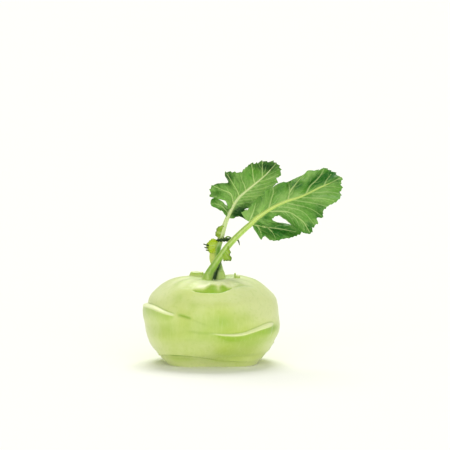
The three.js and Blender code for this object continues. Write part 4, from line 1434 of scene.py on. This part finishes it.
# Centre lines of the stalks and midribs as (x, y, z, half width), from the crown to the leaf's tip
FRONT_LINE = StalkLine((
    (-3, -5.2, 57.6, 3.7), (-1.8, -4.4, 60, 3.1), (-0.6, -4, 62.4, 2.85), (2, -4.5, 66.5, 2.65),
    (5.5, -5.5, 72, 2.4), (10, -6, 78.5, 2.15), (15.5, -7, 84.8, 2), (22.5, -8, 91.6, 1.9),
    (26.5, -9, 95.2, 1.8), (30, -9.5, 98.8, 1.6), (37, -10.5, 103.8, 1.3), (44, -11.5, 108, 1.1),
    (51.5, -12, 111.2, 0.95), (58, -12, 113.2, 0.85), (64, -11.5, 115.6, 0.75), (73, -10, 120, 0.6),
    (80.5, -8.5, 123, 0.45),
))
REAR_LINE = StalkLine((
    (5, 0.4, 57.6, 4.5), (5, 3.2, 60, 3.6), (4.6, 5, 62.6, 3), (3.8, 5, 67.5, 2.6), (3.4, 5, 74.5, 2.3),
    (5.2, 5.5, 81, 2), (7, 6, 86.8, 1.8), (9, 6.5, 93.6, 1.6), (10.6, 7, 97.6, 1.45), (14.4, 8, 105.6, 1.15),
    (18.5, 9, 111.3, 0.9), (23, 10, 115.2, 0.75), (29, 11, 120, 0.65), (34.5, 12, 124.4, 0.55),
    (39.6, 12.7, 129.4, 0.45),
))
RIB_START = 8.0
# Margins of the blades, as Blade lists them
FRONT_ROWS = (
    (0, 24.5, -8.5, 97.2), (0.02, 21, -7, 100.5), (0.04, 20.5, -6, 102.6, 1), (0.06, 24, -6, 104),
    (0.08, 25.2, -6, 105.8), (0.1, 29.5, -4, 110, 1), (0.14, 32.4, -5, 113), (0.17, 34.2, -7, 112.2),
    (0.2, 36, -5, 117.4), (0.23, 41.5, -3, 119.4, 1), (0.29, 43.5, -4, 121), (0.33, 47, -6, 123),
    (0.38, 51, -6, 123.2, 1), (0.42, 55, -3, 124.6), (0.46, 62.4, -1, 128.2, 1), (0.52, 64.6, -3, 130.5),
    (0.58, 71, -5, 130.6), (0.64, 76, -1.5, 132.2, 1), (0.76, 79, -3, 130.6), (0.86, 82.6, -5, 129, 1),
    (0.95, 84.6, -6, 127.4), (1, 87.2, -7, 126.2, 1), (1.05, 86.6, -9, 122), (1.12, 87.6, -11, 119.6, 1),
    (1.18, 86, -13, 117), (1.25, 86.4, -16, 114.4, 1), (1.31, 82.4, -18, 110.6), (1.36, 78, -18, 108.2, 1),
    (1.41, 74.6, -17, 104.4), (1.45, 74.4, -19, 100.8, 1), (1.49, 70.4, -20, 100.6), (1.53, 71, -20, 97),
    (1.57, 67.8, -18, 94.2), (1.6, 66.4, -17, 89.8, 1), (1.63, 62, -17, 90), (1.66, 57.4, -18, 92.4),
    (1.69, 53.6, -18, 95.6), (1.71, 50.2, -17, 99.2), (1.73, 46.6, -15, 101.4), (1.76, 42.6, -13, 100.8),
    (1.79, 40.4, -10, 98.2), (1.82, 44.4, -8, 96, 0, -0.3), (1.84, 50, -6.5, 95, 0, -0.22),
    (1.86, 56, -6, 93.2, 1, -0.2), (1.88, 60.2, -6, 89.2, 0, -0.16), (1.9, 54, -9, 86.4, 1, -0.1),
    (1.92, 47.5, -11, 85.2), (1.94, 43, -13, 84.2, 1), (1.955, 38.4, -14, 85.4), (1.965, 35.6, -13, 88.2),
    (1.975, 33, -14, 85.4, 1), (1.985, 30.8, -12, 88.6), (2, 29.4, -10, 91.6),
)
REAR_ROWS = (
    (0, 8.4, 5, 100), (0.03, 7, 4, 102.4), (0.05, 4, 5, 103.8), (0.07, -0.4, 7, 106, 1),
    (0.09, -0.6, 8, 109.2), (0.105, 2.4, 8, 111), (0.12, 4.6, 7.6, 109), (0.135, 7.2, 7, 106.4),
    (0.15, 10.4, 6, 103.4), (0.165, 10, 4.6, 107.8), (0.18, 7.6, 3.8, 110.6), (0.19, 4, 3, 113),
    (0.205, -1.4, 1, 112.5), (0.215, -0.6, 1, 114.6), (0.225, -0.9, 2, 117), (0.24, 0.6, 4, 119.4, 1),
    (0.26, 4, 5, 121), (0.28, 8, 6, 121.2), (0.3, 10.8, 8, 121), (0.32, 10.8, 8, 123), (0.335, 9, 6, 125.8),
    (0.35, 9.6, 4, 128.4, 1), (0.38, 12, 3.5, 129), (0.41, 14.4, 5, 128.4), (0.47, 20, 8, 128, 1),
    (0.53, 21.2, 10, 129.4), (0.58, 23.4, 9, 131.6), (0.64, 26.4, 7, 134, 1), (0.7, 30, 9, 133.6),
    (0.78, 33.8, 11, 135.2, 1), (0.88, 38.2, 13, 134.6), (0.96, 41.6, 14, 134.4), (1, 43.4, 14, 133.6, 1),
    (1.06, 45, 13, 131.4), (1.14, 46.2, 12, 128.8, 1), (1.22, 46, 12, 125.8), (1.28, 43.4, 14, 123.6),
    (1.33, 43.4, 15, 120.2, 1), (1.4, 41, 14, 117.4), (1.47, 39, 15, 113.4, 1), (1.55, 36.6, 15, 110),
    (1.62, 33.6, 14, 108.4, 1), (1.68, 29, 14, 106.2), (1.73, 25.4, 12, 104), (1.79, 21.9, 9.2, 102.8),
    (1.83, 23.4, 8.6, 101.2), (1.87, 25.6, 8, 98.4, 1), (1.9, 24.2, 6.4, 95.8), (1.93, 20.6, 5.4, 97.8),
    (1.96, 17.4, 5.6, 98.8), (2, 14, 6.4, 97),
)
# Side veins of the blades
FRONT_VEINS = (
    Vein(((25.2, 96.6), (27.9, 103.5), (29.5, 108.6)), Region.UPPER),
    Vein(((38.3, 105.4), (40.2, 111.7), (41.5, 116.3), (41.2, 119.6)), Region.UPPER),
    Vein(((51.4, 111.4), (52.6, 116.7), (57.3, 122.6), (62, 127.8)), Region.UPPER, 0.65),
    Vein(((52.6, 116.7), (52.2, 119.4), (51.4, 122.8)), Region.UPPER, 0.4),
    Vein(((63.2, 115.4), (66.4, 120.8), (70, 124), (73.6, 128.1), (75.4, 131.6)), Region.UPPER, 0.6),
    Vein(((75.6, 121.2), (77.4, 124.6), (80.4, 128.4)), Region.UPPER, 0.45),
    Vein(((80, 122.8), (84, 124.8), (87.5, 126.2)), Region.TIP, 0.45),
    Vein(((37.4, 103.6), (46, 104), (53.3, 103.1), (57.8, 100.3), (61.8, 97.1), (65.8, 90.4)),
         Region.MAIN_LOWER, 0.65),
    Vein(((44.2, 107), (53.4, 106.4), (61.2, 104.3), (65.8, 99.8), (69.1, 95.6)), Region.MAIN_LOWER, 0.4, 0.5),
    Vein(((48, 110), (58.6, 108), (65.8, 106.3), (71, 103.6), (73.6, 101.6)), Region.MAIN_LOWER, 0.4, 0.55),
    Vein(((53.4, 111.6), (62.5, 110.6), (72.3, 109), (77.4, 107.6)), Region.MAIN_LOWER, 0.4, 0.5),
    Vein(((58, 113.2), (65.8, 113.2), (75.6, 113), (82.2, 111.8)), Region.MAIN_LOWER, 0.4, 0.5),
    Vein(((64, 115.6), (69.1, 116.4), (78.9, 117), (86, 116)), Region.MAIN_LOWER, 0.38, 0.45),
    Vein(((73, 120), (79, 120.4), (87, 119.8)), Region.MAIN_LOWER, 0.34, 0.45),
    Vein(((53.4, 102.8), (57.3, 98), (59.3, 93.2)), Region.MAIN_LOWER, 0.34, 0.5),
    Vein(((49, 103.7), (53.4, 99.6), (55.6, 95)), Region.MAIN_LOWER, 0.34, 0.4),
    Vein(((58, 100.2), (61.4, 95.6), (62.4, 91)), Region.MAIN_LOWER, 0.3, 0.4),
    Vein(((28.6, 94.4), (37, 92.9), (46, 91.7), (56.5, 89.4)), Region.BASAL, 0.6),
    Vein(((30.5, 94), (33, 90), (33.2, 86.4)), Region.BASAL, 0.35),
    Vein(((37, 92.9), (41, 89.4), (43, 85)), Region.BASAL, 0.35),
)
REAR_VEINS = (
    Vein(((11.4, 99.6), (6.8, 105), (0.6, 107.4)), Region.LOW_LEFT, 0.45),
    Vein(((14.4, 106.6), (12.8, 113.6), (8, 116.3), (1.4, 119)), Region.LEFT, 0.6),
    Vein(((18.4, 111.2), (17.3, 115.2), (13.9, 121.5), (10, 127.8)), Region.LEFT, 0.6),
    Vein(((22.8, 115), (21.8, 119.8), (20, 122.9), (19.4, 127.4)), Region.LEFT, 0.45),
    Vein(((29, 120), (28, 124.3), (27.3, 130.2), (26.6, 134)), Region.LEFT, 0.5),
    Vein(((34, 124.2), (34, 129.8), (34, 135.4)), Region.LEFT, 0.45),
    Vein(((39, 128.8), (41.4, 131.4), (43.5, 134)), Region.TIP, 0.4),
    Vein(((23, 115), (33.8, 116.9), (42.6, 119.6)), Region.RIGHT, 0.42, 0.6),
    Vein(((20.4, 113), (30, 114.2), (39.6, 115.8)), Region.RIGHT, 0.36, 0.45),
    Vein(((18.2, 111), (28, 111.8), (37, 112.8)), Region.RIGHT, 0.36, 0.5),
    Vein(((16.2, 108.6), (25, 109.6), (34.6, 110.4)), Region.RIGHT, 0.34, 0.4),
    Vein(((14.6, 106), (22, 107.2), (29.6, 107.6)), Region.RIGHT, 0.34, 0.4),
    Vein(((26, 117.6), (35, 119.8), (43.6, 122.6)), Region.RIGHT, 0.36, 0.45),
    Vein(((30.6, 121.2), (37, 123), (45, 126.4)), Region.RIGHT, 0.38, 0.5),
    Vein(((35.4, 125.2), (40, 126.8), (45, 129.6)), Region.RIGHT, 0.32, 0.4),
)
# Soft patches of tint on the blades as (x, z, spread across, spread up, strength)
# Their darkness is painted shade in folds, under the midribs and on set-back lobes, with some of the leaf's own
# darker green; their paleness is partly its paler tone and partly painted sheen
FRONT_TINTS_LIGHT_AND_SHADE = {
    "darkness": ((57.9, 120.9, 5, 3.2, 0.8), (70, 123.4, 5, 3, 0.85), (75.4, 126.6, 6, 3, 0.95),
                 (81, 128.4, 3.4, 2.6, 1), (73, 107.3, 4, 3, 0.6), (71.7, 101.8, 3.4, 3, 0.6),
                 (65.8, 93.9, 3.2, 4.4, 0.75), (33.4, 112.3, 1.8, 3, 0.55), (36.4, 99.8, 4, 2.2, 0.9),
                 (44.9, 90.6, 13, 5, 1.0), (46, 118, 3, 4, 0.5), (31, 95.4, 2.6, 3, 0.5),
                 (52, 86.6, 6, 2, 0.3), (50, 120.6, 5, 2.4, 0.4), (66, 121.4, 3, 2.4, 0.4),
                 (84.6, 124, 2, 2.6, 0.5)),
    "paleness": ((47.5, 113, 5, 3.6, 0.8), (57, 114.6, 4.4, 2.2, 0.6), (52.7, 105.7, 8, 2.4, 0.3),
                 (69, 111.7, 8, 2.8, 0.7), (82.1, 120.9, 3.4, 3, 0.5), (37.6, 110, 3, 6, 0.75),
                 (26, 101, 4, 5, 0.9), (31.5, 104.5, 3, 4, 0.7), (60, 102.6, 6, 3, 0.5), (74, 117, 6, 2, 0.5),
                 (62, 125.4, 3.4, 2.2, 0.4)),
    "brightness": ((27.2, 103.1, 4, 5, 0.3), (49.4, 118.2, 3, 4, 0.45), (84.1, 116.3, 4, 4, 0.55),
                   (78, 112, 5, 4, 0.3), (62, 125, 3, 3, 0.3)),
}
REAR_TINTS_LIGHT_AND_SHADE = {
    "darkness": ((38, 132, 6.5, 3.8, 1.0), (25.9, 133.3, 2.4, 1.8, 0.4), (11.5, 125.4, 3, 3.8, 0.85),
                 (20, 102.6, 6, 3, 1.0), (18, 99.6, 7, 2.8, 1.0), (-1.3, 111.6, 2.4, 2.2, 0.55),
                 (3, 114.2, 3, 2, 0.5), (24, 107, 4, 1.8, 0.3), (5, 120.4, 4, 1.4, 0.4),
                 (30, 132, 4, 2, 0.3)),
    "paleness": ((16, 124.2, 3, 4, 0.4), (33, 116.8, 7, 3.4, 0.75), (27.2, 111.6, 6, 2.6, 0.8),
                 (42.2, 124.2, 3, 3, 0.6), (5.6, 106.3, 3, 2, 0.8), (12, 118, 5, 2.4, 0.4),
                 (20, 120, 3, 4, 0.3)),
    "brightness": ((29.8, 129.4, 4, 3.4, 0.6), (44.2, 128.1, 2.4, 3, 0.5), (36, 120.6, 5, 3, 0.25)),
}
# The pieces on the crown
STUBS = (
    CrownStub("left_stub", x=-10.4, y=11, turn=-24, wide=11, deep=4.6, tall=2.4),
    CrownStub("right_stub", x=17.3, y=-3.4, turn=20, wide=3.8, deep=3, tall=1.2),
    CrownStub("right_spike", x=15.6, y=-2, turn=0, wide=1.3, deep=1.6, tall=3),
)
FRONT_STALK = Stalk("front_stalk", FRONT_LINE, RIB_START, tones=(
    (0, 0, 0), (0.6, 0.25, 0), (2, 0.4, 0), (3.5, 0.2, 0), (5, 0.05, 0), (7, 0, 0.2), (9, 0, 0.75),
    (13, 0, 0.55), (16, 0, 0.35),
))
# The rear stalk's deep green from place 2 to 5 is painted shade under its leaflets
REAR_STALK = Stalk("rear_stalk", REAR_LINE, RIB_START, wing=2.8, flare=0.0, tones=(
    (0, 0, 0.3), (0.8, 0.2, 0.2), (2, 0.35, 0), (3.2, 0.7, 0), (4.4, 0.85, 0), (5, 0.4, 0.3), (6, 0, 0.8),
    (14, 0, 1),
))
FRONT_BLADE = Blade("front_blade", FRONT_ROWS, FRONT_LINE, RIB_START, FRONT_VEINS, FRONT_TINTS_LIGHT_AND_SHADE,
                    smooth_rows=((0.16, 0.56),), seed=SEED + 1)
REAR_BLADE = Blade("rear_blade", REAR_ROWS, REAR_LINE, RIB_START, REAR_VEINS, REAR_TINTS_LIGHT_AND_SHADE,
                   smooth_rows=((0.08, 0.2), (0.25, 0.31), (1.34, 1.8)), seed=SEED + 5, tooth_length=(2.4, 4.8),
                   tooth_height=(0.6, 1.5))
REAR_SPROUTS = (
    Leaflet("upper_leaflet", ((5.5, 6, 4.6, 84.2), (5.7, 3.8, 3.6, 84.6), (6, 2.5, 2.6, 87.6),
                              (6.3, 3.4, 3, 90.2), (6.7, 6.6, 4, 92.8)), REAR_LINE, 0.25, 0.5, dark_teeth=0.6),
    Leaflet("lower_leaflet", ((4.1, 2.4, 3, 74.2), (4.3, 0, 2, 74), (4.6, -2.6, 1.6, 75.6),
                              (4.8, -3.4, 2, 78.8), (5, -2.2, 1.6, 81.8), (5.2, 0, 2.6, 83.4),
                              (5.4, 3.4, 3.6, 83)), REAR_LINE, 0.0, 1.0, dark_teeth=0.3),
    Sprig("upper_tooth", ((-2.2, 1.8, 79, 0.6), (-4, 1.8, 79.6, 0.45), (-5.9, 2, 80.2, 0.3))),
    Sprig("middle_tooth", ((-2.4, 1.8, 77.4, 0.6), (-4, 1.8, 77.6, 0.45), (-5.2, 2, 78, 0.3))),
    Sprig("lower_tooth", ((-2, 1.7, 75.9, 0.6), (-3.2, 1.7, 75.9, 0.45), (-4.2, 1.8, 76.2, 0.3))),
    # This leaflet and the sprig below are painted dark as shade on their undersides, which face away from the
    # light
    Leaflet("shaded_leaflet", ((5, 8, 10.4, 83.2), (5.1, 12.4, 10.8, 83.4), (5.3, 16, 7.6, 83.2),
                             (5.4, 17.4, 4.6, 82.6), (5.5, 14, 2, 83.4), (5.6, 9.4, 2.2, 83.6)),
            REAR_LINE, 0.9, 0.0, ruffle=0.15, tooth=0.3, arch=0.2),
    Sprig("shaded_sprig", ((3, 3.8, 82.4, 0.4), (4.6, 2.2, 82.8, 1.1), (7.4, 1.8, 83, 1.25),
                         (10.4, 1.4, 83.1, 1.2), (13.4, 1.4, 83.3, 1.05), (16, 2.4, 83.4, 0.8),
                         (17.8, 3.2, 82.2, 0.55), (18.6, 4, 79.2, 0.25))),
    Sprig("sprig_frill", ((9, 2.2, 84.2, 0.5), (10.4, 2.2, 85.2, 0.45), (11.6, 2.2, 85, 0.4),
                          (13, 2.4, 84.4, 0.3)), darkness=0.35),
)
FRONT_SPROUTS = (
    Leaflet("frilled_leaflet", ((5.3, 12, -8.6, 79.6), (5.15, 12.7, -9.4, 77), (4.95, 12.8, -11, 74.2),
                                (4.8, 13.8, -12.4, 72.8), (4.65, 12.6, -12.4, 70.4), (4.5, 9.6, -11.6, 69.8),
                                (4.4, 8, -11, 70.2)),
            FRONT_LINE, 0.05, 0.3, ruffle=0.7, curl=1.0, dark_teeth=0.9),
)


def grow_leaves(crown: Bulb, mottle: bpy.types.NodeTree, fibres: bpy.types.NodeTree) -> None:
    """Builds both leaves with their stalks and leaflets and dresses them.

    Args:
        crown: The bulb that the stalks stand on.
        mottle: The shared cloud effect.
        fibres: The shared fibre effect.
    """
    net = net_effect()
    stalk_skins = (StalkFinish("front_stalk_skin"),
                   StalkFinish("rear_stalk_skin", rib=from_bytes(222, 234, 172)))
    # The rear blade's darker deep green is for its heavier painted shade
    blade_skins = (BladeFinish("front_blade_skin"),
                   BladeFinish("rear_blade_skin", deep=from_bytes(12, 72, 4)))
    young_skin = BladeFinish("leaflet_skin", light=from_bytes(166, 206, 80), middle=from_bytes(146, 196, 52),
                             deep=from_bytes(10, 52, 12), bright=from_bytes(184, 208, 34), net_cells=700.0)
    stalk_nodes, blade_nodes = (("front_leaf_" + part, "rear_leaf_" + part) for part in ("stalk", "blade"))
    for stalk, skin, node in zip((FRONT_STALK, REAR_STALK), stalk_skins, stalk_nodes):
        dress(stalk.build(crown, skin.build(mottle, fibres)), node)
    for blade, skin, node in zip((FRONT_BLADE, REAR_BLADE), blade_skins, blade_nodes):
        dress(blade.build(skin.build(mottle, net)), node)
    young = young_skin.build(mottle, net)
    for sprouts, node in ((REAR_SPROUTS, "rear_leaf_stalk"), (FRONT_SPROUTS, "front_leaf_stalk")):
        for sprout in sprouts:
            dress(sprout.build(young), node)


@dataclass(frozen=True)
class Studio:
    """The plain pale floor, the soft light and the camera at the photograph's angle."""

    aim: tuple = (8.8 * MM, 0.0, 93.3 * MM)
    distance: float = 8.0
    elevation: float = 6.5
    frame_width: float = 303.75 * MM
    sensor: float = 36.0
    # Rings of the floor's disc in metres, and its sides
    floor_rings: tuple = (0.2, 1.0, 4.0, 14.0)
    floor_sides: int = 96
    sky_colour: tuple = (1.0, 1.0, 0.97, 1.0)
    sky: float = 0.46
    # Soft suns as (name, direction from the scene, strength, angle in degrees)
    suns: tuple = (("top_light", (0.0, 0.55, 0.83), 1.98, 36.0),
                   ("front_light", (0.07, -0.97, 0.22), 1.41, 70.0))

    def build(self) -> None:
        """Lays the floor, lights it with soft suns and a plain sky, and sets the camera."""
        bpy.context.scene.view_settings.view_transform = "Standard"
        self.build_camera()
        self.build_light()
        self.build_floor()

    def build_camera(self) -> None:
        """A long lens on the line through the aim at the given height above the level."""
        camera = bpy.data.cameras.new("camera")
        camera.sensor_width = self.sensor
        camera.lens = self.sensor * self.distance / self.frame_width
        camera.clip_end = 100.0
        holder = bpy.data.objects.new("camera", camera)
        tilt = math.radians(self.elevation)
        holder.location = (self.aim[0], self.aim[1] - self.distance * math.cos(tilt),
                           self.aim[2] + self.distance * math.sin(tilt))
        holder.rotation_euler = (math.pi / 2 - tilt, 0.0, 0.0)
        bpy.context.scene.collection.objects.link(holder)
        bpy.context.scene.camera = holder

    def build_light(self) -> None:
        """Wide suns from above and behind and from the front, and a plain warm-white sky."""
        for name, direction, strength, angle in self.suns:
            sun = bpy.data.lights.new(name, "SUN")
            sun.energy = strength
            sun.angle = math.radians(angle)
            holder = bpy.data.objects.new(name, sun)
            holder.rotation_euler = Vector(direction).to_track_quat("Z", "Y").to_euler()
            bpy.context.scene.collection.objects.link(holder)
        world = bpy.data.worlds.new("sky")
        world.use_nodes = True
        background = world.node_tree.nodes["Background"]
        background.inputs["Color"].default_value = self.sky_colour
        background.inputs["Strength"].default_value = self.sky
        bpy.context.scene.world = world

    def build_floor(self) -> bpy.types.Object:
        """A wide flat disc at height 0, as rings about the axis."""
        angle = full_turn(self.floor_sides)
        radius = np.array(self.floor_rings)[:, None]
        flat = np.stack([radius * np.cos(angle), radius * np.sin(angle), 0 * radius * angle], axis=-1)
        points = np.vstack([[0, 0, 0], flat.reshape(-1, 3)])
        rings = grid_quads(len(self.floor_rings), self.floor_sides, wrap=True) + 1
        faces = fan_faces(0, 1, self.floor_sides).tolist() + rings[:, ::-1].tolist()
        mesh = bpy.data.meshes.new("floor")
        mesh.from_pydata(points.tolist(), [], faces)
        mesh.materials.append(FloorFinish().build())
        floor = bpy.data.objects.new("floor", mesh)
        bpy.context.scene.collection.objects.link(floor)
        return floor


def main() -> None:
    """Builds the kohlrabi piece by piece in its studio."""
    logging.basicConfig(level=logging.INFO, format="%(message)s")
    Studio().build()
    mottle, fibres = mottle_effect(), streak_effect()
    flesh = FleshFinish().build(mottle, fibres)
    bulb = Bulb()
    dress(bulb.build(flesh), "bulb")
    for stub in STUBS:
        dress(stub.build(bulb, flesh), "bulb")
    grow_leaves(bulb, mottle, fibres)


if __name__ == "__main__":
    main()
